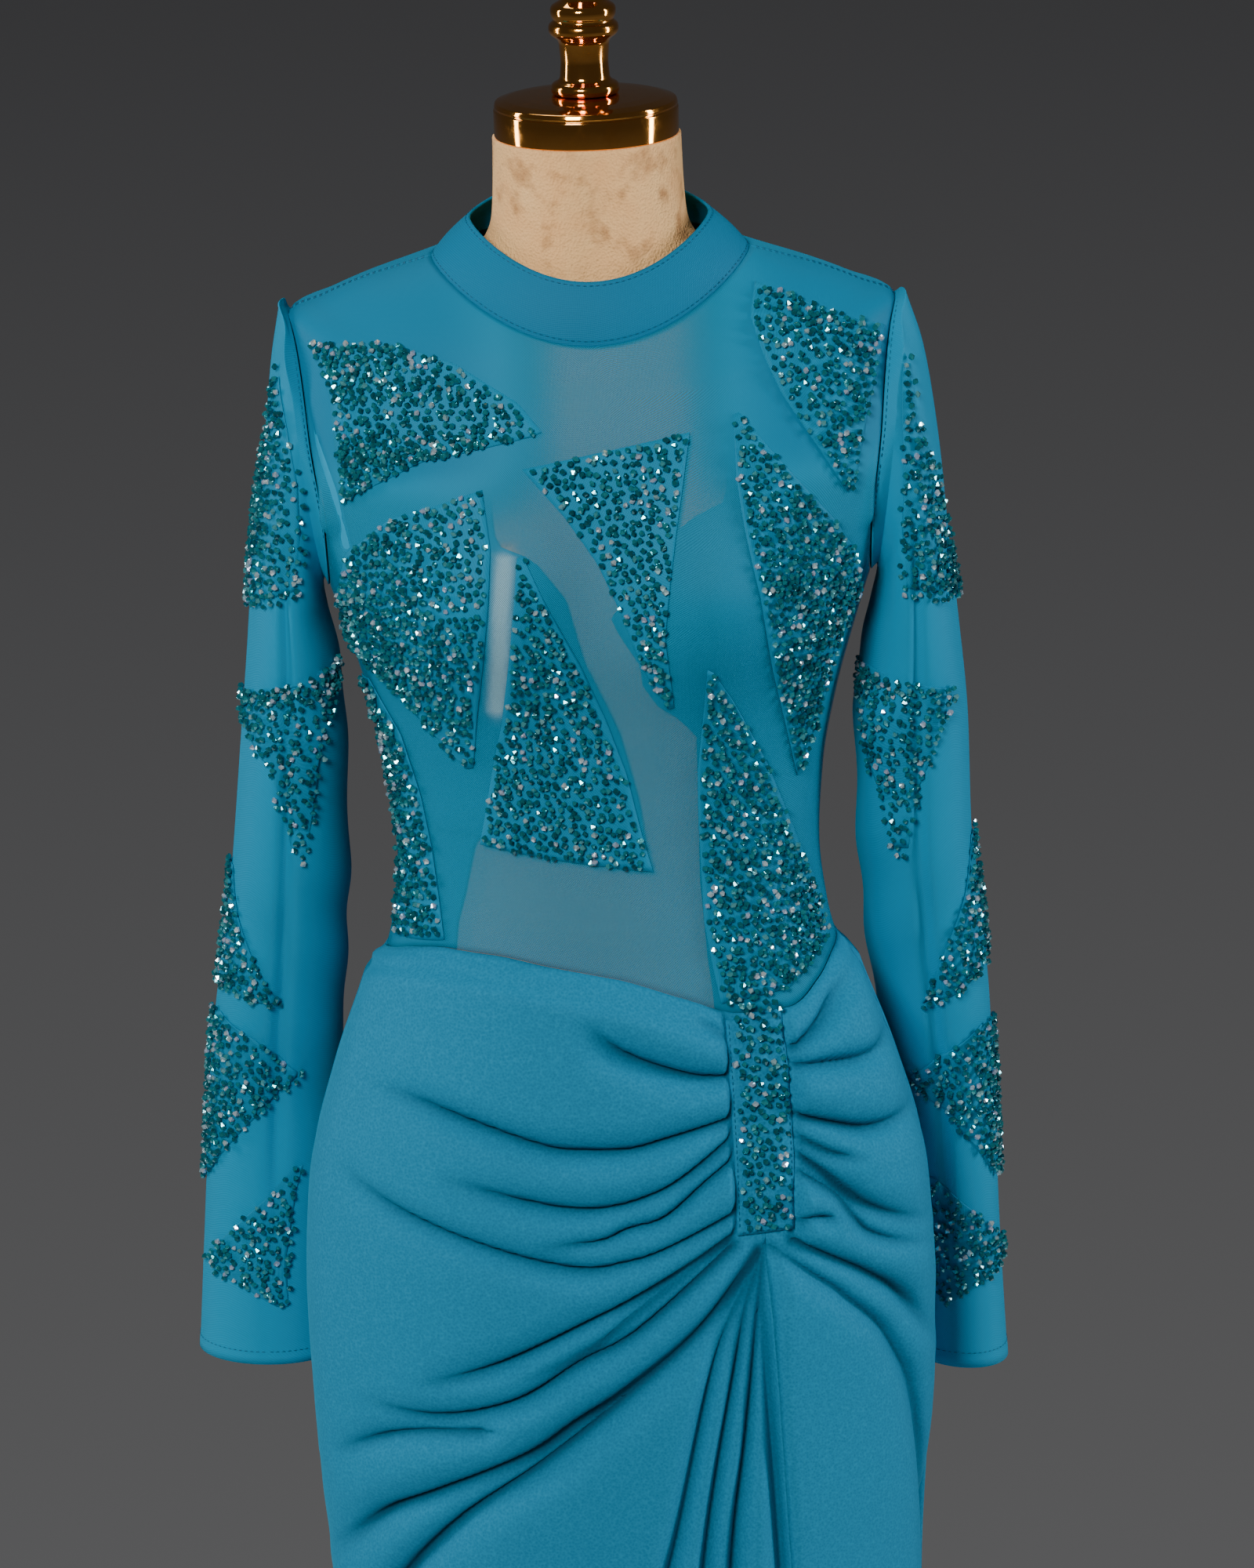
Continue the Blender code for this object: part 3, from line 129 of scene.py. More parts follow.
# Gathers and pleats drawn as creases: depth as a share of the puff, width,
# then points across the front as (x, z), starting at the strip's end
CREASES = (
    (0.95, 0.0075, ((0.064, 1.013), (0.043, 1.016), (0.02, 1.024), (-0.002, 1.035),
        (-0.018, 1.052))),
    (0.55, 0.006, ((0.064, 1.033), (0.043, 1.05))),
    (0.9, 0.008, ((0.064, 0.99), (0.028, 0.981), (0.007, 0.976), (-0.017, 0.976), (-0.039, 0.978),
        (-0.078, 0.99), (-0.11, 0.999), (-0.137, 1.002))),
    (0.85, 0.0075, ((0.065, 0.979), (0.036, 0.958), (0.018, 0.949), (-0.005, 0.943),
        (-0.031, 0.943), (-0.075, 0.952), (-0.102, 0.961))),
    (0.8, 0.0075, ((0.065, 0.936), (0.026, 0.917), (0.003, 0.91), (-0.023, 0.907),
        (-0.067, 0.917), (-0.121, 0.936), (-0.157, 0.958))),
    (0.9, 0.0065, ((0.066, 0.967), (0.05, 0.955), (0.026, 0.936), (0.005, 0.93), (-0.013, 0.923),
        (-0.052, 0.92))),
    (0.85, 0.008, ((0.066, 0.923), (0.04, 0.907), (0.003, 0.886), (-0.019, 0.875),
        (-0.061, 0.853), (-0.088, 0.841), (-0.12, 0.829))),
    (0.55, 0.006, ((0.061, 0.92), (0.03, 0.896), (0.007, 0.878), (-0.016, 0.86), (-0.044, 0.845),
        (-0.07, 0.838))),
    (0.85, 0.008, ((0.066, 0.917), (0.034, 0.889), (0.003, 0.864), (-0.025, 0.849),
        (-0.062, 0.826), (-0.108, 0.814), (-0.15, 0.818))),
    (0.6, 0.008, ((-0.081, 0.806), (-0.13, 0.798), (-0.164, 0.77))),
    (0.9, 0.009, ((0.078, 0.912), (0.047, 0.871), (0.003, 0.834), (-0.027, 0.814),
        (-0.054, 0.794), (-0.109, 0.765), (-0.139, 0.744), (-0.165, 0.7))),
    (0.85, 0.0085, ((0.079, 0.91), (0.042, 0.864), (0.0, 0.826), (-0.045, 0.789), (-0.101, 0.744),
        (-0.14, 0.68), (-0.165, 0.56))),
    (0.8, 0.0085, ((0.08, 0.91), (0.061, 0.871), (0.048, 0.834), (0.031, 0.755), (0.006, 0.64),
        (-0.03, 0.4), (-0.07, 0.02))),
    (0.9, 0.0075, ((0.08, 0.91), (0.07, 0.875), (0.053, 0.789), (0.042, 0.716), (0.03, 0.6),
        (0.012, 0.35), (-0.005, 0.02))),
    (0.95, 0.007, ((0.081, 0.91), (0.077, 0.871), (0.068, 0.798), (0.058, 0.716), (0.052, 0.56),
        (0.05, 0.3), (0.05, 0.02))),
    (0.8, 0.0065, ((0.081, 0.91), (0.08, 0.86), (0.085, 0.74), (0.09, 0.6), (0.098, 0.3),
        (0.12, 0.02))),
    (0.9, 0.007, ((0.098, 1.022), (0.111, 1.03), (0.119, 1.04), (0.129, 1.058))),
    (0.8, 0.006, ((0.098, 1.013), (0.119, 1.01), (0.138, 1.007), (0.146, 1.018))),
    (0.95, 0.0075, ((0.098, 0.987), (0.118, 0.978), (0.136, 0.97), (0.15, 0.967), (0.166, 0.97))),
    (0.7, 0.006, ((0.098, 0.976), (0.118, 0.961), (0.14, 0.949))),
    (0.85, 0.007, ((0.098, 0.966), (0.117, 0.949), (0.139, 0.926), (0.172, 0.897))),
    (0.75, 0.006, ((0.099, 0.955), (0.122, 0.936), (0.132, 0.92), (0.142, 0.907),
        (0.172, 0.885))),
    (0.7, 0.006, ((0.098, 0.921), (0.107, 0.927), (0.126, 0.92))),
    (0.9, 0.007, ((0.098, 0.914), (0.115, 0.903), (0.138, 0.886), (0.157, 0.864), (0.172, 0.82))),
    (0.7, 0.0085, ((0.087, 0.91), (0.106, 0.893), (0.125, 0.875), (0.15, 0.838), (0.165, 0.76),
        (0.175, 0.5), (0.2, 0.02))),
)

# The skirt's puff: its size on the hip and at the hem, where it grows between
# them, its share at the side seams, and how soon it starts at strip and waist
PUFF_HIP = 0.0105
PUFF_HEM = 0.0140
PUFF_FROM, PUFF_RUN = 0.80, 0.60
PUFF_AT_SIDE = 0.45
GATHER_GAIN = 1.50
SIDE_GAIN = 1.25
GATHER_LAP, GATHER_START = 0.0015, 0.0065
WAIST_START = 0.022
WAIST_RIDGE, RIDGE_DROP, RIDGE_SPREAD = 0.0028, 0.006, 0.005

# Creases: their spread below and above, how their flanks fall, how far they
# sag, where they fade, and what differs in the fan that runs to the hem,
# which includes how dark the painted shade in its pleats is
CREASE_LOW_SIDE = 1.15
CREASE_HIGH_SIDE = 0.75
CREASE_POWER = 1.45
CREASE_SAG = 0.0045
CREASE_FADE = 0.065
FAN_END = 0.10
FAN_WIDTH = 0.72
FAN_SHADE = 0.60
LINE_STEPS = 5

# The skirt's back: where its puff has gone, in degrees, and its flutes
BACK_FLAT, BACK_FADE = 170, 60
FLUTES, FLUTE_DEPTH = 8, 0.006

# Rows of the skirt: even down to this height, wider from there to the hem
ROWS_EVEN, ROWS_REACH, ROWS_POWER = 0.66, 0.64, 1.3

# Sleeves: outer edge and inner edge seen from the front as x and z, then
# how far back the middle lies and the half depth from front to back
LEFT_SLEEVE = np.array((
    (0.1745, 1.444, 0.157, 1.286, 0.0, 0.0455),
    (0.185, 1.412, 0.158, 1.279, 0.002, 0.0475),
    (0.1935, 1.356, 0.1565, 1.271, 0.004, 0.048),
    (0.199, 1.295, 0.1535, 1.26, 0.008, 0.047),
    (0.2045, 1.243, 0.148, 1.235, 0.013, 0.045),
    (0.209, 1.19, 0.1435, 1.189, 0.02, 0.0425),
    (0.211, 1.12, 0.1447, 1.12, 0.032, 0.0395),
    (0.2165, 1.064, 0.148, 1.062, 0.046, 0.038),
    (0.222, 1.008, 0.155, 1.005, 0.061, 0.0365),
    (0.2258, 0.934, 0.164, 0.934, 0.08, 0.035),
    (0.2285, 0.85, 0.169, 0.852, 0.086, 0.034),
    (0.2325, 0.764, 0.1715, 0.772, 0.088, 0.033),
))
RIGHT_SLEEVE = np.array((
    (0.1735, 1.448, 0.156, 1.288, 0.0, 0.0455),
    (0.18, 1.418, 0.1575, 1.281, 0.002, 0.0475),
    (0.187, 1.365, 0.157, 1.273, 0.004, 0.048),
    (0.1965, 1.304, 0.1555, 1.264, 0.008, 0.047),
    (0.2035, 1.24, 0.15, 1.233, 0.013, 0.045),
    (0.21, 1.185, 0.1487, 1.183, 0.02, 0.043),
    (0.219, 1.11, 0.151, 1.108, 0.032, 0.041),
    (0.226, 1.062, 0.1545, 1.058, 0.046, 0.039),
    (0.235, 1.012, 0.1595, 1.006, 0.061, 0.0375),
    (0.2435, 0.94, 0.165, 0.94, 0.08, 0.036),
    (0.251, 0.856, 0.1695, 0.856, 0.086, 0.035),
    (0.257, 0.785, 0.1725, 0.782, 0.088, 0.034),
))

# Sleeve folds, in metres, and how far the hem's stitching is up from the cuff,
# in rows of the table
HEAD_PLEAT = 0.0013
HEAD_PLEATS = 9
SLEEVE_CREASE = 0.0040
SLEEVE_RIPPLE = 0.0012
SLEEVE_DRAG = 0.0022
HEM_RISE = 0.0004
CUFF_SHARE = 0.115

# Inner edge of each lining across the front, as (z, x)
RIGHT_LINING_EDGE = (
    (1.06, -0.094), (1.084, -0.0895), (1.106, -0.083), (1.133, -0.076), (1.1425, -0.071),
    (1.1435, 0.022), (1.174, 0.018), (1.215, 0.008), (1.26, -0.01), (1.299, -0.019),
    (1.322, -0.036), (1.331, -0.057), (1.368, -0.061), (1.445, -0.068),
)
LEFT_LINING_EDGE = (
    (1.05, 0.056), (1.134, 0.052), (1.181, 0.0527), (1.215, 0.0523), (1.225, 0.042),
    (1.233, 0.0293), (1.246, 0.0215), (1.257, 0.021), (1.268, 0.0145), (1.278, 0.0086),
    (1.286, 0.0054), (1.309, 0.0237), (1.334, 0.0423), (1.34, 0.0492), (1.346, 0.0611),
    (1.349, 0.071), (1.361, 0.072), (1.404, 0.0755), (1.441, 0.079),
)
LINING_TOP = 17.8

# Beaded patches on the bodice: each row runs from a left point to a right
# point, both as x and z across the front
BODICE_PATCHES = {
    "shoulder_right": ((-0.157, 1.431, -0.111, 1.432), (-0.149, 1.417, -0.078, 1.423),
        (-0.144, 1.402, -0.044, 1.403), (-0.143, 1.385, -0.031, 1.387),
        (-0.142, 1.366, -0.097, 1.372), (-0.14, 1.345, -0.136, 1.35)),
    "shoulder_left": ((0.091, 1.457, 0.113, 1.448), (0.088, 1.441, 0.134, 1.439),
        (0.095, 1.422, 0.161, 1.43), (0.104, 1.402, 0.157, 1.412), (0.122, 1.373, 0.15, 1.385),
        (0.139, 1.343, 0.142, 1.345)),
    "centre": ((-0.039, 1.369, 0.05, 1.385), (-0.017, 1.343, 0.046, 1.358),
        (0.0, 1.317, 0.042, 1.333), (0.012, 1.289, 0.038, 1.304), (0.023, 1.257, 0.035, 1.276),
        (0.036, 1.231, 0.039, 1.232)),
    "bust_right": ((-0.114, 1.34, -0.064, 1.358), (-0.139, 1.316, -0.061, 1.328),
        (-0.147, 1.284, -0.063, 1.3), (-0.143, 1.256, -0.067, 1.264),
        (-0.118, 1.238, -0.071, 1.23), (-0.078, 1.193, -0.074, 1.194)),
    "front_right": ((-0.045, 1.323, -0.042, 1.324), (-0.047, 1.3, -0.031, 1.298),
        (-0.051, 1.262, -0.013, 1.26), (-0.056, 1.222, 0.0, 1.225), (-0.062, 1.192, 0.01, 1.192),
        (-0.066, 1.168, 0.017, 1.157), (-0.07, 1.147, 0.023, 1.132)),
    "side_left": ((0.076, 1.393, 0.079, 1.394), (0.077, 1.36, 0.108, 1.358),
        (0.081, 1.334, 0.129, 1.331), (0.086, 1.31, 0.142, 1.307), (0.089, 1.296, 0.146, 1.282),
        (0.095, 1.249, 0.133, 1.255), (0.101, 1.215, 0.123, 1.216), (0.108, 1.175, 0.111, 1.176)),
    "waist_right": ((-0.1365, 1.234, -0.132, 1.236), (-0.127, 1.199, -0.115, 1.207),
        (-0.122, 1.163, -0.105, 1.17), (-0.119, 1.135, -0.1, 1.14), (-0.121, 1.105, -0.097, 1.11),
        (-0.124, 1.08, -0.095, 1.087)),
    "waist_left": ((0.058, 1.256, 0.061, 1.254), (0.056, 1.23, 0.072, 1.232),
        (0.052, 1.19, 0.09, 1.188), (0.052, 1.16, 0.1, 1.157), (0.053, 1.13, 0.109, 1.128),
        (0.054, 1.1, 0.119, 1.098), (0.058, 1.074, 0.124, 1.071), (0.062, 1.052, 0.1, 1.054)),
}

# Beaded patches on each sleeve: each row runs from the edge beside the body to
# the outer edge, both as height and degrees from the middle of the sleeve's
# front, where 90 is its outer edge. What ends near it is wrapped further
RIGHT_SLEEVE_PATCHES = {
    "head": ((1.416, 50, 1.415, 58), (1.38, 17, 1.373, 71), (1.352, -8, 1.34, 84),
        (1.318, -23, 1.31, 84), (1.286, -25, 1.266, 84)),
    "upper": ((1.24, -74, 1.241, -62), (1.221, -59, 1.217, 84), (1.179, -32, 1.179, 23),
        (1.141, -22, 1.142, 5), (1.114, -15, 1.114, -10)),
    "elbow": ((1.114, 76, 1.114, 84), (1.079, 50, 1.07, 84), (1.046, 17, 1.033, 84),
        (1.021, -4, 1.024, 10)),
    "lower": ((1.015, 70, 1.011, 84), (1.0, 16, 0.988, 84), (0.975, -27, 0.964, 84),
        (0.943, 15, 0.931, 84), (0.898, 72, 0.892, 84)),
    "cuff": ((0.915, -29, 0.914, -24), (0.895, -23, 0.895, 0), (0.854, -18, 0.846, 72),
        (0.834, -17, 0.834, 22), (0.818, -17, 0.819, -12)),
}
LEFT_SLEEVE_PATCHES = {
    "head": ((1.415, 38, 1.414, 45), (1.377, 14, 1.376, 29), (1.349, -3, 1.343, 55),
        (1.316, -18, 1.307, 67), (1.275, -21, 1.26, 80)),
    "upper": ((1.229, -76, 1.231, -70), (1.211, -72, 1.214, 50), (1.177, -58, 1.182, 22),
        (1.15, -38, 1.153, 5), (1.109, -27, 1.11, -12)),
    "elbow": ((1.119, 76, 1.119, 84), (1.082, 47, 1.072, 84), (1.051, 16, 1.037, 84),
        (1.006, -17, 1.012, 6)),
    "lower": ((0.993, 57, 0.989, 84), (0.977, 3, 0.966, 84), (0.957, -47, 0.949, 84),
        (0.936, -6, 0.927, 84), (0.885, 63, 0.882, 84)),
    "cuff": ((0.896, -31, 0.896, -26), (0.873, -32, 0.873, 19), (0.846, -28, 0.833, 84),
        (0.823, -25, 0.821, 29), (0.807, -17, 0.809, -11)),
}
WRAP_FROM, WRAP = 75, 16.0
SLEEVES = ((1, "left", LEFT_SLEEVE, LEFT_SLEEVE_PATCHES),
           (-1, "right", RIGHT_SLEEVE, RIGHT_SLEEVE_PATCHES))

# Beads: how far apart on the bodice, sleeves and strip, how large, and how
# far they stray, as a share of the pitch
BEAD_PITCH = 0.0048
SLEEVE_BEAD_PITCH = 0.0053
STRIP_BEAD_PITCH = 0.0052
BEAD_SIZE = 0.0019
STRIP_BEAD_SIZE = 0.0020
BEAD_STRAY = 0.36
BEAD_LEAN = 0.35

# Stand collar: top edge half widths, and its height in front, side and back
COLLAR_TOP = (0.0670, 0.0590, 1.4650, 1.4920, 1.5030)
COLLAR_BULGE = 0.0018
COLLAR_ROLL = 0.0003

# Folds of the net at the armholes: depth, width and points as (x, z)
NET_FOLDS = (
    (0.0058, 0.0042, ((-0.176, 1.42), (-0.158, 1.35), (-0.15, 1.33))),
    (0.0042, 0.0036, ((0.172, 1.42), (0.156, 1.35), (0.15, 1.325))),
    (-0.0026, 0.0036, ((-0.165, 1.4), (-0.148, 1.35), (-0.142, 1.318))),
)
SEAM_DIP = 0.0006
SEAM_WIDTH = 0.0014

# Inner bust pads seen as paler bands under the net, on each side
PALE_BANDS = {
    1: (0.25, 0.020, ((0.072, 1.350), (0.075, 1.315))),
    -1: (0.95, 0.0072, ((-0.0515, 1.322), (-0.0545, 1.295), (-0.056, 1.27), (-0.0595, 1.232))),
}
PALE_NET = 0.30

# The zip: half its parting, half its tape, its coil's turns and sizes
ZIP_PART = 0.0016
TAPE_HALF = 0.009
COIL_TURNS = 210
COIL_SIDE, COIL_DEEP, COIL_THICK, COIL_INSET = 0.0013, 0.0006, 0.00032, 0.0008

# Neck of the form: half width and depth, height in front, at side, behind
NECK_RINGS = (
    (0.06, 0.054, 1.452, 1.478, 1.484), (0.0545, 0.053, 1.478, 1.492, 1.498),
    (0.053, 0.053, 1.508, 1.514, 1.516), (0.0525, 0.0525, 1.536, 1.536, 1.536),
)
NECK_BARE = 1.45
FORM_LOW = 5.25

# Turned brass: piece, the node it stands for, radius and height down its
# profile, and how far its corners are rounded
TURNED = (
    ("neck_cap_brass", "neck_cap", ((0.0, 1.5362), (0.0515, 1.5362), (0.0515, 1.5512),
        (0.0507, 1.5517), (0.0507, 1.5525), (0.0512, 1.553), (0.0505, 1.5555), (0.044, 1.5572),
        (0.036, 1.558), (0.018, 1.5588), (0.0, 1.5588)), 0.0006),
    ("finial_brass", "finial", ((0.0, 1.559), (0.0185, 1.559), (0.0192, 1.562), (0.0185, 1.565),
        (0.014, 1.567), (0.0132, 1.577), (0.0142, 1.589), (0.0195, 1.593), (0.0195, 1.598),
        (0.0165, 1.6), (0.0182, 1.603), (0.0182, 1.608), (0.011, 1.612), (0.0105, 1.616),
        (0.0145, 1.623), (0.0135, 1.633), (0.007, 1.639), (0.0, 1.641)), 0.0022),
    ("pole_brass", "pole", ((0.0, 0.0463), (0.0125, 0.0463), (0.0125, 0.78), (0.02, 0.784),
        (0.045, 0.794), (0.045, 0.8), (0.0, 0.8)), 0.003),
    ("base_brass", "base", ((0.0, 0.0), (0.158, 0.0), (0.16, 0.003), (0.16, 0.009),
        (0.157, 0.012), (0.1, 0.019), (0.05, 0.025), (0.028, 0.033), (0.022, 0.046),
        (0.0, 0.046)), 0.004),
)
TURN_STEPS = 96
CORNER_STEPS = 5

# Stitches: their thickness, and how high they lie on sleeves and collar
THREAD_THICK = 0.00022
STITCH_LIFT = 0.0004

CLOSE_TEAL = (0.001, 0.150, 0.290)
CAMERA_PLACE = (0.0117, -3.2514, 2.1521)
CAMERA_TARGET = (0.0117, 0.0, 1.158)
CAMERA_LENS = 136.0
CAMERA_ROLL = 1.7
FLOOR_RADIUS = 1.30
FLOOR_DROP = 0.0005
LIGHTS = (
    ("key", (-0.9, -3.0, 2.9), (0.0, 0.0, 1.12), (1.0, 1.0), 122.0, (1.0, 0.98, 0.95)),
    ("left strip", (-2.7, 0.3, 1.7), (0.0, 0.0, 1.1), (0.3, 2.2), 34.0, (1.0, 0.99, 0.97)),
    ("right strip", (2.7, -0.1, 1.7), (0.0, 0.0, 1.1), (0.3, 2.2), 56.0, (0.98, 0.99, 1.0)),
    ("back", (-0.6, 1.5, 4.4), (0.0, 0.0, 1.1), (1.2, 1.2), 26.0, (1.0, 1.0, 1.0)),
)


def smooth(value):
    """Ease from 0 to 1: v * v * (3 - 2 v), with v kept between 0 and 1."""
    value = np.clip(value, 0.0, 1.0)
    return value * value * (3 - 2 * value)


def bell(value):
    """A bell curve: e to the power of minus the value squared."""
    return np.exp(-value ** 2)


def eased(table, position):
    """Rows of a table at fractional positions, on curves that never overshoot.

    Between two rows the value is the rise times s * s * (3 - 2 s) plus the
    slopes at both ends, each the harmonic mean of the steps beside it.
    """
    table = np.asarray(table, float)
    position = np.asarray(position, float)
    index = np.clip(np.floor(position).astype(int), 0, len(table) - 2)
    share = position - index
    steps = np.diff(table, axis=0)
    before, after = steps[:-1], steps[1:]
    total = np.where(before + after == 0, 1.0, before + after)
    mean = np.where(before * after > 0, 2 * before * after / total, 0.0)
    slopes = np.concatenate([steps[:1], mean, steps[-1:]])
    if table.ndim > 1:
        share = share[..., None]
    rise = table[index + 1] - table[index]
    inner = slopes[index] * share * (1 - share) ** 2
    inner = inner - slopes[index + 1] * share ** 2 * (1 - share)
    return table[index] + rise * share * share * (3 - 2 * share) + inner


def between(rows, knots, places):
    """Rows at places between knots, each column straight from one to the next."""
    return np.stack([np.interp(places, knots, column) for column in np.transpose(rows)],
                    axis=-1)


def halved(shape, top, steps, beyond):
    """Where a test turns false between 0 and the top, by halving the range."""
    low, high = np.zeros(shape), np.full(shape, top)
    for _ in range(steps):
        middle = (low + high) / 2
        short = beyond(middle)
        low, high = np.where(short, middle, low), np.where(short, high, middle)
    return low


def outward(turn):
    """The level way out at a turn in radians: across its sine, ahead its cosine."""
    return np.stack([np.sin(turn), -np.cos(turn), np.zeros(np.shape(turn))], axis=-1)


def level_ring(turn, ring):
    """An ellipse whose height leans from its side's by the cosine squared."""
    half_x, half_y, z_front, z_side, z_back = ring
    end = np.where(np.cos(turn) > 0, z_front, z_back)
    height = z_side + (end - z_side) * np.cos(turn) ** 2
    return np.stack([half_x * np.sin(turn), -half_y * np.cos(turn), height], axis=-1)


def cup_rise(x, z):
    """How far the bust stands out: two bell curves across, one up and down."""
    sides = bell((x - CUP_X) / CUP_SPREAD_X) + bell((x + CUP_X) / CUP_SPREAD_X)
    return CUP_RISE * bell((z - CUP_Z) / CUP_SPREAD_Z) * sides


def dress_surface(angle, level):
    """Points of the dress: a squared ellipse at each level, the bust added.

    Across is width * sin(angle) ^ (2 / squareness), ahead is depth * cos(angle)
    ^ (2 / squareness), and the height leans from the side's to the middle's.
    """
    angle, level = np.broadcast_arrays(angle, level)
    ring = eased(RINGS, level)
    width, front, back, z_front, z_side, z_back, square = np.moveaxis(ring, -1, 0)
    sine, cosine = np.sin(np.radians(angle)), np.cos(np.radians(angle))
    ahead = np.abs(cosine) ** (2 / square)
    facing_front = cosine > 0
    x = np.sign(sine) * width * np.abs(sine) ** (2 / square)
    z = z_side + (np.where(facing_front, z_front, z_back) - z_side) * ahead ** 2
    y_front = -front * ahead - cup_rise(x, z) * np.sqrt(ahead)
    return np.stack([x, np.where(facing_front, y_front, back * ahead), z], axis=-1)


def unit(vectors):
    """Vectors divided by their lengths."""
    length = np.linalg.norm(vectors, axis=-1, keepdims=True)
    return vectors / np.maximum(length, 1e-12)


def dress_normal(angle, level):
    """The way out of the dress: the step round it crossed with the step up."""
    around = dress_surface(angle + 0.5, level) - dress_surface(angle - 0.5, level)
    upward = dress_surface(angle, np.minimum(level + 0.02, NECK_LEVEL))
    upward = upward - dress_surface(angle, np.maximum(level - 0.02, 0.0))
    return unit(np.cross(around, upward))


def dress_point(angle, level, out=0.0):
    """Points of the dress moved out along its normals."""
    out = np.broadcast_to(out, np.broadcast(angle, level).shape)
    return dress_surface(angle, level) + dress_normal(angle, level) * out[..., None]


FINE_LEVELS = np.linspace(0, NECK_LEVEL, 4201)
SIDE_HEIGHTS, BACK_HEIGHTS = eased(RINGS, FINE_LEVELS)[:, 4:6].T


def level_at(height, heights=SIDE_HEIGHTS):
    """The level whose side, or back, lies at a height, read from a fine table."""
    return np.interp(height, heights, FINE_LEVELS)


def angle_at(x, level):
    """The front angle at a distance from the middle: the ring's sine undone."""
    ring = eased(RINGS, level)
    share = np.clip(np.abs(x) / ring[..., 0], 0.0, 0.9995)
    return np.sign(x) * np.degrees(np.arcsin(share ** (ring[..., 6] / 2)))


def on_front(x, z):
    """Angle and level of places seen from the front, by halving the level."""
    level = halved(np.shape(x), NECK_LEVEL, 24,
                   lambda level: dress_surface(angle_at(x, level), level)[..., 2] < z)
    return angle_at(x, level), level


def seam_height(angle):
    """Height of the waist seam at an angle on the front."""
    return eased(WAIST_SEAM, (np.clip(angle, -90, 90) + 90) / WAIST_STEP)


def arm_opening(level):
    """Half the armhole in degrees: its half width times a half circle."""
    share = np.clip((level - ARM_MIDDLE) / ARM_HALF, -1, 1)
    return ARM_OPEN * np.sqrt(1 - share * share)


def line_distance(x, z, points):
    """Distance from places to a line of points, negative on its lower side."""
    signed = np.full(np.shape(x), 9.0)
    for (x0, z0), (x1, z1) in zip(points, points[1:]):
        run_x, run_z = x1 - x0, z1 - z0
        share = ((x - x0) * run_x + (z - z0) * run_z) / (run_x ** 2 + run_z ** 2)
        share = np.clip(share, 0, 1)
        away = np.hypot(x - x0 - share * run_x, z - z0 - share * run_z)
        turn = run_x * (z - z0) - run_z * (x - x0)
        side = np.where((turn > 0) == (run_x > 0), 1.0, -1.0)
        signed = np.where(away < np.abs(signed), away * side, signed)
    return signed


def rounded_line(points):
    """A line of points made round at its corners: Catmull-Rom cubics through them."""
    points = np.array(points)
    before = np.concatenate([points[:1] * 2 - points[1:2], points[:-1]])[:-1]
    after = np.concatenate([points[1:], points[-1:] * 2 - points[-2:-1]])[1:]
    share = np.linspace(0, 1, LINE_STEPS, endpoint=False)[None, :, None]
    start, end = points[:-1, None], points[1:, None]
    lean_in = (end - before[:, None]) / 2
    lean_out = (after[:, None] - start) / 2
    curve = (start * (2 * share ** 3 - 3 * share ** 2 + 1)
             + end * (3 * share ** 2 - 2 * share ** 3)
             + lean_in * (share ** 3 - 2 * share ** 2 + share)
             + lean_out * (share ** 3 - share ** 2))
    return np.concatenate([curve.reshape(-1, 2), points[-1:]])


def strip_edges(z):
    """Left and right edge of the strip at a height, straight between rows."""
    return np.moveaxis(between(STRIP[:, 1:], STRIP[:, 0], z), -1, 0)


def puff_size(z):
    """Depth of the skirt's puff at a height, larger towards the hem."""
    return PUFF_HIP + (PUFF_HEM - PUFF_HIP) * smooth((PUFF_FROM - z) / PUFF_RUN)


def gathers(x, z, side_share):
    """The gathered crepe at places on the front: how far it stands out, how far
    it hangs down over a crease, and how much painted shade it gets near a
    crease's floor.

    A puff that rises from the strip and the waist, times one minus a bell
    curve for every crease, each narrower on its upper side. Just above a
    crease the cloth hangs down by another bell curve. A crease that ends on the
    hip fades towards its far end.
    """
    left, right = strip_edges(z)
    clear = np.maximum(np.maximum(left - x, x - right), STRIP_BOTTOM - 0.001 - z)
    begun = smooth((clear + GATHER_LAP) / GATHER_START)
    below_seam = seam_height(side_share * 90) - z
    ridge = WAIST_RIDGE * bell((below_seam - RIDGE_DROP) / RIDGE_SPREAD)
    ridge = ridge * begun * (1 + 0.8 * smooth((-x - 0.10) / 0.02))
    begun = begun * smooth(below_seam / WAIST_START)
    aside = np.abs(side_share)
    height = puff_size(z) * begun
    height = height * (1 - (1 - PUFF_AT_SIDE) * smooth((aside - 0.70) / 0.30))
    sag, floor = np.zeros(np.shape(x)), np.zeros(np.shape(x))
    for depth, width, points in CREASES:
        line = rounded_line(points)
        away = line_distance(x, z, line)
        spread = width * np.where(away < 0, CREASE_LOW_SIDE, CREASE_HIGH_SIDE)
        spread = spread * (1 + smooth((0.75 - z) / 0.5))
        end_x, end_z = points[-1]
        if end_z > FAN_END:
            length = np.linalg.norm(np.diff(line, axis=0), axis=1).sum()
            reach = min(CREASE_FADE, 0.45 * length)
            shade = depth = depth * smooth(np.hypot(x - end_x, z - end_z) / reach)
        else:
            spread, width, shade = spread * FAN_WIDTH, width * FAN_WIDTH, depth * FAN_SHADE
        height = height * (1 - depth * np.exp(-np.abs(away / spread) ** CREASE_POWER))
        above = bell((away - 0.50 * width) / (0.50 * width)) * smooth(away / (0.4 * width))
        sag = np.maximum(sag, depth * above)
        # Painted shade: a bell curve along each crease's floor, kept as the crepe's tone
        floor = np.maximum(floor, shade * bell(away / (0.48 * width)))
    gain = GATHER_GAIN + (SIDE_GAIN - 1) * smooth((aside - 0.55) / 0.3)
    return height * gain + ridge, sag * begun * CREASE_SAG, floor * begun


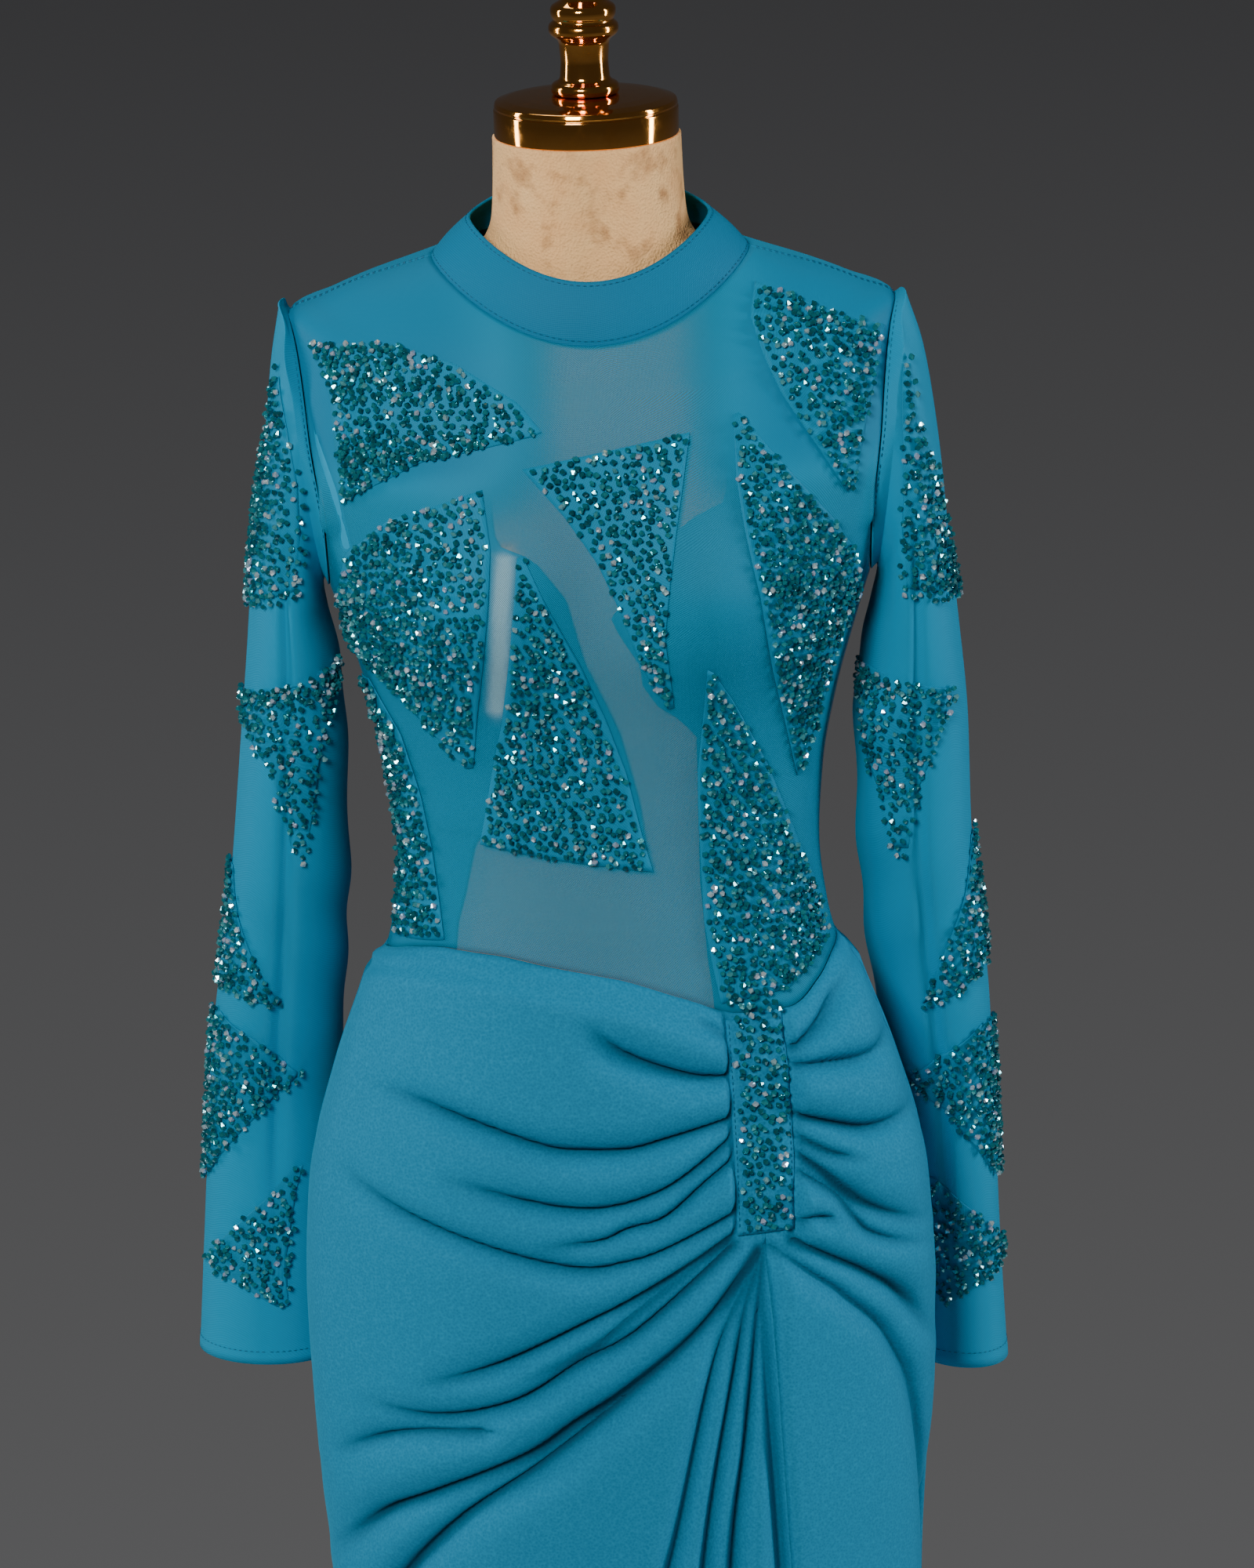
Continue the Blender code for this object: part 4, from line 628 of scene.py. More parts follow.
def skirt_out(angle, level):
    """How far the skirt stands out all round, hangs down, and gets painted shade in a crease.

    Behind, the puff of the side seams fades and flutes stand out by one minus
    the cosine of the angle times their number.
    """
    angle = (angle + 180) % 360 - 180
    aside = np.abs(angle)
    x, _, z = np.moveaxis(dress_surface(angle, level), -1, 0)
    front, sag, floor = gathers(x, z, np.clip(angle, -90, 90) / 90)
    edge = puff_size(z) * PUFF_AT_SIDE * smooth((WAIST_SIDE - z) / WAIST_START)
    edge = edge * (GATHER_GAIN + SIDE_GAIN - 1)
    flutes = FLUTE_DEPTH * smooth((0.85 - z) / 0.6) * (1 - np.cos(np.radians(angle * FLUTES)))
    back = edge * smooth((BACK_FLAT - aside) / BACK_FADE) + flutes
    ahead = aside <= 90
    out = np.where(ahead, front, back) - SEAM_DIP * bell((aside - 90) / 1.1)
    out = out - SEAM_DIP * bell((aside - 180) / 0.9)
    return out, np.where(ahead, sag, 0.0), np.where(ahead, floor, 0.0)


def sleeve_surface(table, turn, position):
    """Points of a sleeve: ellipses from the table's outer and inner edges.

    A turn of 0 is the sleeve's front, 90 its outer edge. A position from -1
    to 0 leads straight from the armhole's edge to the table's first row.
    """
    turn, position = np.broadcast_arrays(turn, position)
    sine, cosine = np.sin(np.radians(turn)), np.cos(np.radians(turn))
    row = eased(table, np.maximum(position, 0.0))
    outer_x, outer_z, inner_x, inner_z, middle_y, half = np.moveaxis(row, -1, 0)
    tube = np.stack([(outer_x + inner_x + (outer_x - inner_x) * sine) / 2,
                     middle_y - half * cosine,
                     (outer_z + inner_z + (outer_z - inner_z) * sine) / 2], axis=-1)
    edge = dress_surface(90 - ARM_OPEN * cosine, ARM_MIDDLE + ARM_HALF * sine)
    edge[..., 0] += SLEEVE_GAP
    share = np.clip(position + 1, 0, 1)[..., None]
    return edge + (tube - edge) * share


def sleeve_normal(table, turn, position):
    """The way out of a sleeve: the step round it crossed with the step up."""
    last = len(table) - 1.0
    around = sleeve_surface(table, turn + 1, position)
    around = around - sleeve_surface(table, turn - 1, position)
    upward = sleeve_surface(table, turn, np.clip(position - 0.05, 0, last - 0.1))
    upward = upward - sleeve_surface(table, turn, np.clip(position + 0.05, 0.1, last))
    return unit(np.cross(around, upward))


def sleeve_position(table, turn, height):
    """The position along a sleeve at which a turn lies at a height."""
    return halved(np.shape(turn), len(table) - 1.0, 22,
                  lambda place: sleeve_surface(table, turn, place)[..., 2] > height)


def sleeve_point(hand, table, turn, position, out):
    """Points and normals of a sleeve moved out, mirrored where a hand is -1."""
    flip = np.array([hand, 1, 1])
    normal = sleeve_normal(table, turn, position)
    point = sleeve_surface(table, turn, position) + normal * out[..., None]
    return point * flip, normal * flip


def sleeve_out(table, turn, position):
    """Folds of a sleeve: pleats at its head, a long crease, ripples at the elbow.

    Pleats are a cosine round the head, ripples a sine down the inner side, and
    the crease and the drag line are bell curves across a slowly turning line.
    """
    sine = np.sin(np.radians(turn))
    head = np.exp(-np.maximum(position, 0) / 0.9) * smooth(position + 1.0)
    pleats = HEAD_PLEAT * np.cos(np.radians(turn * HEAD_PLEATS)) * head
    pleats = pleats * smooth((sine + 0.1) / 0.6)
    length = position / (len(table) - 1.0)
    beside = (turn - 5 * np.sin(length * 5) + 180) % 360 - 180
    crease = bell(beside / 6)
    crease = crease * smooth((length - 0.12) / 0.15) * (1 - smooth((length - 0.80) / 0.15))
    ripples = np.sin(position * 5.2 + np.radians(turn) * 1.6)
    ripples = ripples * bell((position - 6.2) / 1.9) * (0.5 - 0.5 * sine)
    drag = bell((turn + 35 - 30 * length) / 16) * (1 - smooth((length - 0.30) / 0.2))
    out = pleats - SLEEVE_CREASE * crease + SLEEVE_RIPPLE * ripples
    return (out - SLEEVE_DRAG * drag * (1 - head)) * smooth((position + 1.0) / 0.6)


def new_mesh(name, points, groups):
    """A mesh from points and groups of faces with the same number of sides."""
    mesh = bpy.data.meshes.new(name)
    loops = np.concatenate([group.ravel() for group in groups]).astype(np.int32)
    sizes = np.concatenate([np.full(len(group), group.shape[1]) for group in groups])
    mesh.vertices.add(len(points))
    mesh.vertices.foreach_set("co", np.ascontiguousarray(points, np.float32).ravel())
    mesh.loops.add(len(loops))
    mesh.loops.foreach_set("vertex_index", loops)
    mesh.polygons.add(len(sizes))
    mesh.polygons.foreach_set("loop_start", (np.cumsum(sizes) - sizes).astype(np.int32))
    mesh.update(calc_edges=True)
    return mesh


def keep_values(mesh, name, values):
    """Keep a value at every point of a mesh under a name."""
    layer = mesh.attributes.new(name, "FLOAT", "POINT")
    layer.data.foreach_set("value", np.asarray(values, np.float32).ravel())


def add_piece(name, mesh, material, stands_for=(), body=BODY, soft=True):
    """Link a mesh as a piece that rides on a body and stands for CAD nodes."""
    piece = bpy.data.objects.new(name, mesh)
    bpy.context.scene.collection.objects.link(piece)
    mesh.materials.append(material)
    mesh.polygons.foreach_set("use_smooth", np.full(len(mesh.polygons), soft))
    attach(piece, body)
    if stands_for:
        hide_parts(*stands_for)
    return piece


def grid_faces(rows, columns, wrap):
    """Four corners of each face of a grid, as rows and as columns."""
    spans = columns if wrap else columns - 1
    r, c = np.meshgrid(np.arange(rows - 1), np.arange(spans), indexing="ij")
    corner_rows = np.stack([r, r, r + 1, r + 1], axis=-1).reshape(-1, 4)
    corner_columns = np.stack([c, c + 1, c + 1, c], axis=-1).reshape(-1, 4)
    return corner_rows, corner_columns


def run_lengths(grid, axis):
    """Length along a grid's rows or columns, from its first point."""
    steps = np.linalg.norm(np.diff(grid, axis=axis), axis=-1)
    start = np.zeros_like(np.take(steps, [0], axis=axis))
    return np.concatenate([start, np.cumsum(steps, axis=axis)], axis=axis)


def cloth_piece(name, grid, material, node, wall, wrap=False, flip=False, tone=None):
    """A sheet of cloth from a grid of points, its weave laid by real lengths.

    The UV map holds metres: lengths round each row from its middle, and
    lengths down each column. A tone is a value kept at every point.
    """
    rows, columns = grid.shape[:2]
    corner_rows, corner_columns = grid_faces(rows, columns, wrap)
    closed = np.concatenate([grid, grid[:, :1]], axis=1) if wrap else grid
    across = run_lengths(closed, 1)
    weave = np.stack([across - across[:, -1:] / 2, run_lengths(closed, 0)], axis=-1)
    if flip:
        corner_rows, corner_columns = corner_rows[:, ::-1], corner_columns[:, ::-1]
    faces = corner_rows * columns + corner_columns % columns
    mesh = new_mesh(name, grid.reshape(-1, 3), [faces])
    layer = mesh.uv_layers.new(name="weave")
    layer.data.foreach_set("uv", weave[corner_rows, corner_columns].astype(np.float32).ravel())
    if tone is not None:
        keep_values(mesh, "tone", tone)
    piece = add_piece(name, mesh, material, (node,))
    shell = piece.modifiers.new("wall", "SOLIDIFY")
    shell.thickness = wall
    shell.offset = -1.0
    shell.use_even_offset = False
    return piece


def capped_piece(name, grid, material, stands_for=()):
    """A closed body from rings of points, with its two ends drawn to a point."""
    rows, columns = grid.shape[:2]
    corner_rows, corner_columns = grid_faces(rows, columns, True)
    quads = corner_rows * columns + corner_columns % columns
    here = np.arange(columns)
    after = (here + 1) % columns
    first, last = rows * columns, rows * columns + 1
    low = np.stack([after, here, np.full(columns, first)], axis=-1)
    top = (rows - 1) * columns
    high = np.stack([top + here, top + after, np.full(columns, last)], axis=-1)
    ends = np.stack([grid[0].mean(axis=0), grid[-1].mean(axis=0)])
    points = np.concatenate([grid.reshape(-1, 3), ends])
    return add_piece(name, new_mesh(name, points, [quads, low, high]), material,
                     stands_for)


def rounded(profile, reach):
    """A profile with each inner corner replaced by a parabola's short arc."""
    profile = np.asarray(profile, float)
    parts = [profile[:1]]
    share = np.linspace(0, 1, CORNER_STEPS)[:, None]
    for before, corner, after in zip(profile, profile[1:], profile[2:]):
        start, end = (corner + (other - corner) / np.linalg.norm(other - corner)
                      * min(reach, np.linalg.norm(other - corner) * 0.45)
                      for other in (before, after))
        parts.append(start * (1 - share) ** 2 + 2 * corner * share * (1 - share)
                     + end * share ** 2)
    return np.concatenate(parts + [profile[-1:]])


def turned_piece(name, node, profile, reach):
    """A turned piece of brass: a rounded profile of radius and height carried round."""
    profile = rounded(profile, reach)[1:-1]
    turn = np.linspace(0, 2 * math.pi, TURN_STEPS, endpoint=False)
    radius, height = profile[:, :1], profile[:, 1:]
    grid = np.stack([radius * np.cos(turn), radius * np.sin(turn), height + 0 * turn], axis=-1)
    capped_piece(name, grid, BRASS, (node,))


def repeated(name, shape, centres, frames, material, sizes, tint=None):
    """One mesh of many copies of a small shape, each turned by its frame."""
    template, faces = shape
    count, corners = len(centres), len(template)
    local = template[None] * sizes[:, None]
    points = centres[:, None] + np.einsum("nij,nkj->nki", frames, local)
    shift = (np.arange(count) * corners)[:, None, None]
    every = (faces[None] + shift).reshape(-1, faces.shape[1])
    mesh = new_mesh(name, points.reshape(-1, 3), [every])
    if tint is not None:
        keep_values(mesh, "tint", np.repeat(tint, corners))
    return add_piece(name, mesh, material, soft=tint is None)


def bead_shape():
    """A six-sided bicone with a small flat at each end, all in triangles."""
    turn = np.radians(np.arange(6) * 60)
    waist = np.stack([np.cos(turn), np.sin(turn), np.zeros(6)], axis=-1)
    end = waist * 0.34
    points = np.concatenate([end - [0, 0, 0.94], waist, end + [0, 0, 0.94]])
    here = np.arange(6)
    after = (here + 1) % 6
    faces = []
    for low in (0, 6):
        faces.append(np.stack([low + here, low + after, low + 6 + after], axis=-1))
        faces.append(np.stack([low + here, low + 6 + after, low + 6 + here], axis=-1))
    fan = np.arange(1, 5)
    faces.append(np.stack([np.zeros(4, int), fan + 1, fan], axis=-1))
    faces.append(np.stack([np.full(4, 12), 12 + fan, 13 + fan], axis=-1))
    return points, np.concatenate(faces)


def stitch_shape():
    """A short thread: two square waists and a point at each end."""
    square = np.array([(0, 1, 0), (0, 0, 1), (0, -1, 0), (0, 0, -1)], float)
    points = np.concatenate([[(-1, 0, 0)], square - [0.55, 0, 0], square + [0.55, 0, 0],
                             [(1, 0, 0)]])
    here = np.arange(4)
    after = (here + 1) % 4
    tail = np.stack([np.zeros(4, int), 1 + after, 1 + here], axis=-1)
    tip = np.stack([np.full(4, 9), 5 + here, 5 + after], axis=-1)
    side = np.stack([1 + here, 1 + after, 5 + after], axis=-1)
    other = np.stack([1 + here, 5 + after, 5 + here], axis=-1)
    return points, np.concatenate([tail, side, other, tip])


def random_frames(chance, normals, lean):
    """Frames whose third axis lies mostly in the cloth, turned by chance."""
    count = len(normals)
    axis = unit(chance.normal(size=(count, 3)))
    out = np.sum(axis * normals, axis=-1, keepdims=True)
    axis = unit(axis - normals * out * (1 - lean))
    helper = unit(chance.normal(size=(count, 3)))
    first = unit(np.cross(axis, helper))
    second = np.cross(axis, first)
    return np.stack([first, second, axis], axis=-1)


def bead_rows(surface, last_row, pitch, chance):
    """Row and share of beads laid in rows a pitch apart, every other row shifted.

    Rows are spaced by length down the patch's middle, and the beads of a row by
    length across it. Each is then moved a little by chance.
    """
    rows = np.linspace(0, last_row, 160)
    middle = surface(rows, np.full(160, 0.5))[0]
    down = run_lengths(middle[None], 1)[0]
    wanted = np.arange(pitch * 0.45, down[-1], pitch * 0.88)
    found, shares = [], []
    across = np.linspace(0, 1, 48)
    for number, row in enumerate(np.interp(wanted, down, rows)):
        run = run_lengths(surface(np.full(48, row), across)[0][None], 1)[0]
        if run[-1] < pitch * 0.5:
            continue
        start = pitch * (0.30 if number % 2 else 0.72)
        places = np.arange(start, run[-1] - pitch * 0.15, pitch)
        places = places + chance.uniform(-BEAD_STRAY, BEAD_STRAY, len(places)) * pitch
        stray = chance.uniform(-BEAD_STRAY, BEAD_STRAY, len(places)) * pitch
        shares.append(np.interp(places, run, across))
        found.append(row + stray * last_row / down[-1])
    return np.clip(np.concatenate(found), 0, last_row), np.concatenate(shares)


def beads_on(name, surface, last_row, pitch, size, seed, lift):
    """Beads sewn all over a patch, each a bicone lying on the cloth."""
    chance = np.random.default_rng(seed)
    row, share = bead_rows(surface, last_row, pitch, chance)
    centre, normal = surface(row, share)
    count = len(row)
    radius = size * chance.uniform(0.86, 1.12, count)
    centre = centre + normal * (lift + radius * chance.uniform(0.75, 1.25, count))[:, None]
    frames = random_frames(chance, normal, BEAD_LEAN)
    return repeated(name, bead_shape(), centre, frames, CRYSTAL,
                    radius[:, None] * np.ones(3), tint=chance.uniform(0, 1, count))


def stitches(name, lines, length, gap):
    """Threads along lines of points, each lying along its line on the cloth."""
    centres, frames = [], []
    for path, normals in lines:
        run = run_lengths(path[None], 1)[0]
        places = np.arange(length, run[-1] - length / 2, length + gap)
        centre = between(path, run, places)
        normal = unit(between(normals, run, places))
        along = unit(between(path, run, places + 0.0005) - centre)
        centres.append(centre + normal * THREAD_THICK * 0.4)
        frames.append(np.stack([along, unit(np.cross(normal, along)), normal], axis=-1))
    centres, frames = np.concatenate(centres), np.concatenate(frames)
    sizes = np.tile([length / 2, THREAD_THICK, THREAD_THICK], (len(centres), 1))
    return repeated(name, stitch_shape(), centres, frames, THREAD, sizes)


def join(socket, value):
    """Link a socket to another one, or set its number or its opaque colour."""
    if isinstance(value, bpy.types.NodeSocket):
        socket.id_data.links.new(value, socket)
    elif socket.type == "RGBA":
        socket.default_value = (*value, 1.0)
    else:
        socket.default_value = value


def feed(node, **values):
    """Link or set a node's inputs by name, with _ for a blank."""
    for label, value in values.items():
        join(node.inputs[label.replace("_", " ")], value)
    return node


def new_material(name):
    """A material with its own Principled shader, and its node tree."""
    material = bpy.data.materials.new(name)
    material.use_nodes = True
    return material, material.node_tree, material.node_tree.nodes["Principled BSDF"]


def new_group(name, outputs, **inputs):
    """A node group, its input and its output node; an input without a number is
    a vector."""
    group = bpy.data.node_groups.new(name, "ShaderNodeTree")
    for label, value in inputs.items():
        kind = "NodeSocketVector" if value is None else "NodeSocketFloat"
        socket = group.interface.new_socket(name=label, in_out="INPUT", socket_type=kind)
        if value is not None:
            socket.default_value = value
    for label in outputs:
        group.interface.new_socket(name=label, in_out="OUTPUT", socket_type="NodeSocketFloat")
    return group, group.nodes.new("NodeGroupInput"), group.nodes.new("NodeGroupOutput")


def math_node(tree, operation, first, second=None, clamp=False):
    """A Math node; a socket is linked and a number is set."""
    node = tree.nodes.new("ShaderNodeMath")
    node.operation = operation
    node.use_clamp = clamp
    join(node.inputs[0], first)
    if second is not None:
        join(node.inputs[1], second)
    return node.outputs[0]


def ramp(tree, value, stops):
    """A colour ramp over a value."""
    node = tree.nodes.new("ShaderNodeValToRGB")
    tree.links.new(value, node.inputs[0])
    elements = node.color_ramp.elements
    while len(elements) < len(stops):
        elements.new(0.5)
    for element, (place, colour) in zip(elements, stops):
        element.position = place
        element.color = (*colour, 1.0)
    return node.outputs[0]


def grouped(tree, group, **values):
    """A group node with its sockets linked or set by name."""
    node = tree.nodes.new("ShaderNodeGroup")
    node.node_tree = group
    return feed(node, **values)


def kept_value(tree, name):
    """The value kept at each point of a mesh under a name."""
    node = tree.nodes.new("ShaderNodeAttribute")
    node.attribute_name = name
    return node.outputs["Fac"]


def bump(tree, shader, height, strength, distance):
    """Raise a surface's normal by a height."""
    node = feed(tree.nodes.new("ShaderNodeBump"), Strength=strength, Distance=distance,
                Height=height)
    feed(shader, Normal=node.outputs[0])


def place_of(tree):
    """Object coordinates."""
    return tree.nodes.new("ShaderNodeTexCoord").outputs["Object"]


def weave_of(tree, turn=0.0):
    """The weave's own coordinates in metres, turned on the cloth."""
    source = tree.nodes.new("ShaderNodeUVMap")
    source.uv_map = "weave"
    return feed(tree.nodes.new("ShaderNodeMapping"), Vector=source.outputs[0],
                Rotation=(0, 0, math.radians(turn))).outputs[0]


def parts_of(tree, vector):
    """The three parts of a vector."""
    node = tree.nodes.new("ShaderNodeSeparateXYZ")
    tree.links.new(vector, node.inputs[0])
    return node.outputs


def threads_group():
    """Crossing threads: the product of two sine waves, 0 in holes, 1 on threads."""
    group, source, sink = new_group("crossing_threads", ("Thread", "Rib"), Weave=None,
                                    Pitch=0.001, Stretch=1.0)
    parts = parts_of(group, source.outputs["Weave"])
    turns = math_node(group, "DIVIDE", 2 * math.pi, source.outputs["Pitch"])
    down = math_node(group, "MULTIPLY", parts[1], turns)
    down = math_node(group, "MULTIPLY", down, source.outputs["Stretch"])
    wave = math_node(group, "SINE", math_node(group, "MULTIPLY", parts[0], turns))
    crossed = math_node(group, "MULTIPLY", wave, math_node(group, "SINE", down))
    for label, value in (("Thread", crossed), ("Rib", wave)):
        half = math_node(group, "MULTIPLY", value, 0.5)
        join(sink.inputs[label], math_node(group, "ADD", half, 0.5))
    return group


def textured(group, source, kind, **values):
    """A texture at a group's place, its scale one over the group's size."""
    scale = math_node(group, "DIVIDE", 1.0, source.outputs["Size"])
    return feed(group.nodes.new(kind), Vector=source.outputs["Place"], Scale=scale, **values)


def mottle_group():
    """Soft uneven shade: noise with finer octaves, from 0 to 1."""
    group, source, sink = new_group("soft_mottle", ("Shade",), Place=None, Size=0.05,
                                    Detail=3.0)
    noise = textured(group, source, "ShaderNodeTexNoise", Detail=source.outputs["Detail"])
    feed(sink, Shade=noise.outputs[0])
    return group


def grain_group():
    """Pebbled grain or nap: fine cells with finer noise over them."""
    group, source, sink = new_group("fine_grain", ("Height",), Place=None, Size=0.001)
    cells = textured(group, source, "ShaderNodeTexVoronoi")
    noise = textured(group, source, "ShaderNodeTexNoise", Detail=2.0)
    both = math_node(group, "ADD", cells.outputs["Distance"], noise.outputs[0])
    feed(sink, Height=math_node(group, "MULTIPLY", both, 0.6))
    return group


def wear_group():
    """Fine handling marks on metal: noise above its middle, mostly 0."""
    group, source, sink = new_group("handling_marks", ("Marks",), Place=None, Size=0.02)
    noise = textured(group, source, "ShaderNodeTexNoise", Detail=6.0, Roughness=0.65)
    over = math_node(group, "SUBTRACT", noise.outputs[0], 0.5)
    feed(sink, Marks=math_node(group, "MULTIPLY", over, 3.0, clamp=True))
    return group


THREADS = threads_group()
MOTTLE = mottle_group()
GRAIN = grain_group()
WEAR = wear_group()


def mottled(tree, size, detail):
    """Soft uneven shade over an object."""
    return grouped(tree, MOTTLE, Place=place_of(tree), Size=size, Detail=detail).outputs[0]


def mixed(tree, share, first, second):
    """A colour between two, by a share; each colour is a socket or a triple."""
    node = tree.nodes.new("ShaderNodeMix")
    node.data_type = "RGBA"
    for place, value in ((0, share), (6, first), (7, second)):
        join(node.inputs[place], value)
    return node.outputs[2]


def matt_cloth(shader, colour, roughness, sheen):
    """Cloth that shines little, its sheen in its own teal."""
    feed(shader, Base_Color=colour, Roughness=roughness, Specular_IOR_Level=0.15,
         Sheen_Weight=sheen, Sheen_Roughness=0.45, Sheen_Tint=(0.02, 0.60, 0.90))


def net_material(name, dark, light, pitch, depth, turn=0, sheer=None):
    """Stretch net: threads light and dark, holes clear if it is sheer.

    A sheer net is closer where its tone is higher, up to quite close at 1.
    """
    material, tree, shader = new_material(name)
    weave = grouped(tree, THREADS, Weave=weave_of(tree, turn), Pitch=pitch, Stretch=0.8)
    thread = weave.outputs["Thread"]
    worn = math_node(tree, "MULTIPLY", mottled(tree, 0.09, 3.0), 0.35)
    colour = mixed(tree, worn, mixed(tree, thread, dark, light), light)
    if sheer:
        low, high = sheer
        tone = kept_value(tree, "tone")
        cover = math_node(tree, "MULTIPLY", thread, high - low)
        cover = math_node(tree, "ADD", cover, low)
        feed(shader, Alpha=math_node(tree, "ADD", cover, tone, clamp=True))
        close = math_node(tree, "MULTIPLY", tone, 0.75, clamp=True)
        colour = mixed(tree, close, colour, CLOSE_TEAL)
    matt_cloth(shader, colour, 0.62, 0.10)
    bump(tree, shader, thread, depth, 0.0002)
    return material


def lining_material():
    """Smooth lining, paler where the bust pad backs it."""
    material, tree, shader = new_material("lining_satin")
    colour = mixed(tree, mottled(tree, 0.06, 2.0), (0.001, 0.265, 0.470), (0.002, 0.335, 0.560))
    colour = mixed(tree, kept_value(tree, "tone"), colour, (0.550, 0.750, 0.780))
    matt_cloth(shader, colour, 0.55, 0.0)
    threads = grouped(tree, THREADS, Weave=weave_of(tree), Pitch=0.0009, Stretch=1.0)
    bump(tree, shader, threads.outputs["Rib"], 0.15, 0.0002)
    return material


def crepe_material():
    """Matt crepe: a pebbled grain, its pits darker, and painted shade, close to
    black, where its tone says that it lies in a crease."""
    material, tree, shader = new_material("crepe")
    grain = grouped(tree, GRAIN, Place=place_of(tree), Size=0.0016).outputs[0]
    colour = mixed(tree, grain, (0.004, 0.130, 0.255), (0.011, 0.255, 0.440))
    soft = math_node(tree, "MULTIPLY", mottled(tree, 0.12, 2.0), 0.3)
    colour = mixed(tree, soft, colour, (0.007, 0.190, 0.350))
    # Painted shade: the tone darkens the crepe towards near black in its creases
    deep = math_node(tree, "MULTIPLY", kept_value(tree, "tone"), 0.92)
    matt_cloth(shader, mixed(tree, deep, colour, (0.0005, 0.010, 0.028)), 0.80, 0.15)
    bump(tree, shader, grain, 0.35, 0.0006)
    return material


def crystal_material():
    """Faceted glass: most beads deep teal, some pale, a few pale blue, and a few
    white, their white partly pale glass and partly painted sparkle.
    """
    material, tree, shader = new_material("crystal")
    glint = feed(tree.nodes.new("ShaderNodeLayerWeight"), Blend=0.35)
    deep = ramp(tree, kept_value(tree, "tint"), (
        (0.00, (0.006, 0.110, 0.135)), (0.50, (0.010, 0.260, 0.300)),
        (0.78, (0.030, 0.400, 0.440)), (0.87, (0.180, 0.600, 0.640)),
        # The white stop paints sparkle into a few beads, over their pale glass
        (0.93, (0.780, 0.930, 0.970)), (1.00, (0.640, 0.720, 0.960))))
    colour = mixed(tree, glint.outputs["Facing"], deep, (0.010, 0.220, 0.320))
    feed(shader, Base_Color=colour, Metallic=0.60, Roughness=0.06, IOR=1.7, Coat_Weight=0.6,
         Coat_Roughness=0.03)
    return material


def thread_material():
    """Sewing thread, a shade darker than the cloth."""
    material, tree, shader = new_material("thread")
    colour = mixed(tree, mottled(tree, 0.004, 2.0), (0.001, 0.050, 0.110),
                   (0.003, 0.090, 0.180))
    feed(shader, Base_Color=colour, Roughness=0.55)
    return material


def velvet_material():
    """Cream velvet: a short nap and a soft sheen, with smudges on the bare neck."""
    material, tree, shader = new_material("velvet")
    place = place_of(tree)
    nap = grouped(tree, GRAIN, Place=place, Size=0.0015)
    bare = math_node(tree, "SUBTRACT", parts_of(tree, place)["Z"], NECK_BARE)
    bare = math_node(tree, "MULTIPLY", bare, 25.0, clamp=True)
    sway = math_node(tree, "SUBTRACT", mottled(tree, 0.020, 6.0), 0.45)
    strength = math_node(tree, "ADD", math_node(tree, "MULTIPLY", bare, 0.8), 0.2)
    sway = math_node(tree, "ADD", math_node(tree, "MULTIPLY", sway, strength), 0.45)
    colour = mixed(tree, sway, (0.860, 0.420, 0.160), (1.000, 0.650, 0.290))
    marks = ramp(tree, mottled(tree, 0.016, 5.0), ((0.53, (0, 0, 0)), (0.70, (0.9, 0.9, 0.9))))
    marks = math_node(tree, "MULTIPLY", marks, bare)
    feed(shader, Base_Color=mixed(tree, marks, colour, (0.480, 0.230, 0.090)), Roughness=0.85,
         Specular_IOR_Level=0.15, Sheen_Weight=0.25, Sheen_Roughness=0.5,
         Sheen_Tint=(1.0, 0.72, 0.42))
    bump(tree, shader, nap.outputs[0], 1.00, 0.0009)
    return material


def metal_material(name, colour, tarnish, roughness):
    """Polished metal: mirror bright, rougher and darker in handling marks."""
    material, tree, shader = new_material(name)
    marks = grouped(tree, WEAR, Place=place_of(tree), Size=0.018).outputs[0]
    rough = math_node(tree, "MULTIPLY", marks, 0.22)
    feed(shader, Base_Color=mixed(tree, marks, colour, tarnish), Metallic=1.0,
         Roughness=math_node(tree, "ADD", rough, roughness))
    bump(tree, shader, mottled(tree, 0.010, 2.0), 0.04, 0.0010)
    return material


SHEER_NET = net_material("sheer_net", (0.001, 0.205, 0.360), (0.002, 0.300, 0.490), 0.0011,
                         0.25, sheer=(0.34, 0.67))
NET = net_material("close_net", (0.001, 0.190, 0.350), (0.002, 0.290, 0.500), 0.0012, 0.45)
COLLAR_NET = net_material("collar_net", (0.001, 0.125, 0.255), (0.002, 0.185, 0.340), 0.0013,
                          0.60, turn=45)
BEAD_NET = net_material("beaded_net", (0.001, 0.165, 0.300), (0.002, 0.250, 0.430), 0.0014,
                        0.50)
TAPE = net_material("zip_tape_weave", (0.003, 0.120, 0.220), (0.010, 0.200, 0.330), 0.0010,
                    0.60)
LINING = lining_material()
CREPE = crepe_material()
CRYSTAL = crystal_material()
THREAD = thread_material()
VELVET = velvet_material()
BRASS = metal_material("polished_brass", (1.000, 0.440, 0.090), (0.700, 0.260, 0.040), 0.07)
ZIP_METAL = metal_material("zip_enamel", (0.050, 0.260, 0.360), (0.020, 0.120, 0.180), 0.25)


def bodice_grid(levels, edges, columns, out):
    """A bodice panel: angles spread evenly between its edges at each level.

    Below the bust the levels bend so that the lowest row is the waist seam.
    """
    low, upper = level_at(WAIST_SIDE), level_at(WAIST_BLEND_UP)
    start, end = edges(levels)
    share = np.linspace(0, 1, columns)[None]
    angle = start[:, None] + (end - start)[:, None] * share
    level = np.broadcast_to(levels[:, None], angle.shape)
    bend = np.clip((upper - level) / (upper - low), 0, 1)
    bend = np.where(np.abs(angle) > 90, 0.0, bend)
    level = level + (level_at(seam_height(angle)) - low) * bend
    return dress_point(angle, level, out(angle, level))


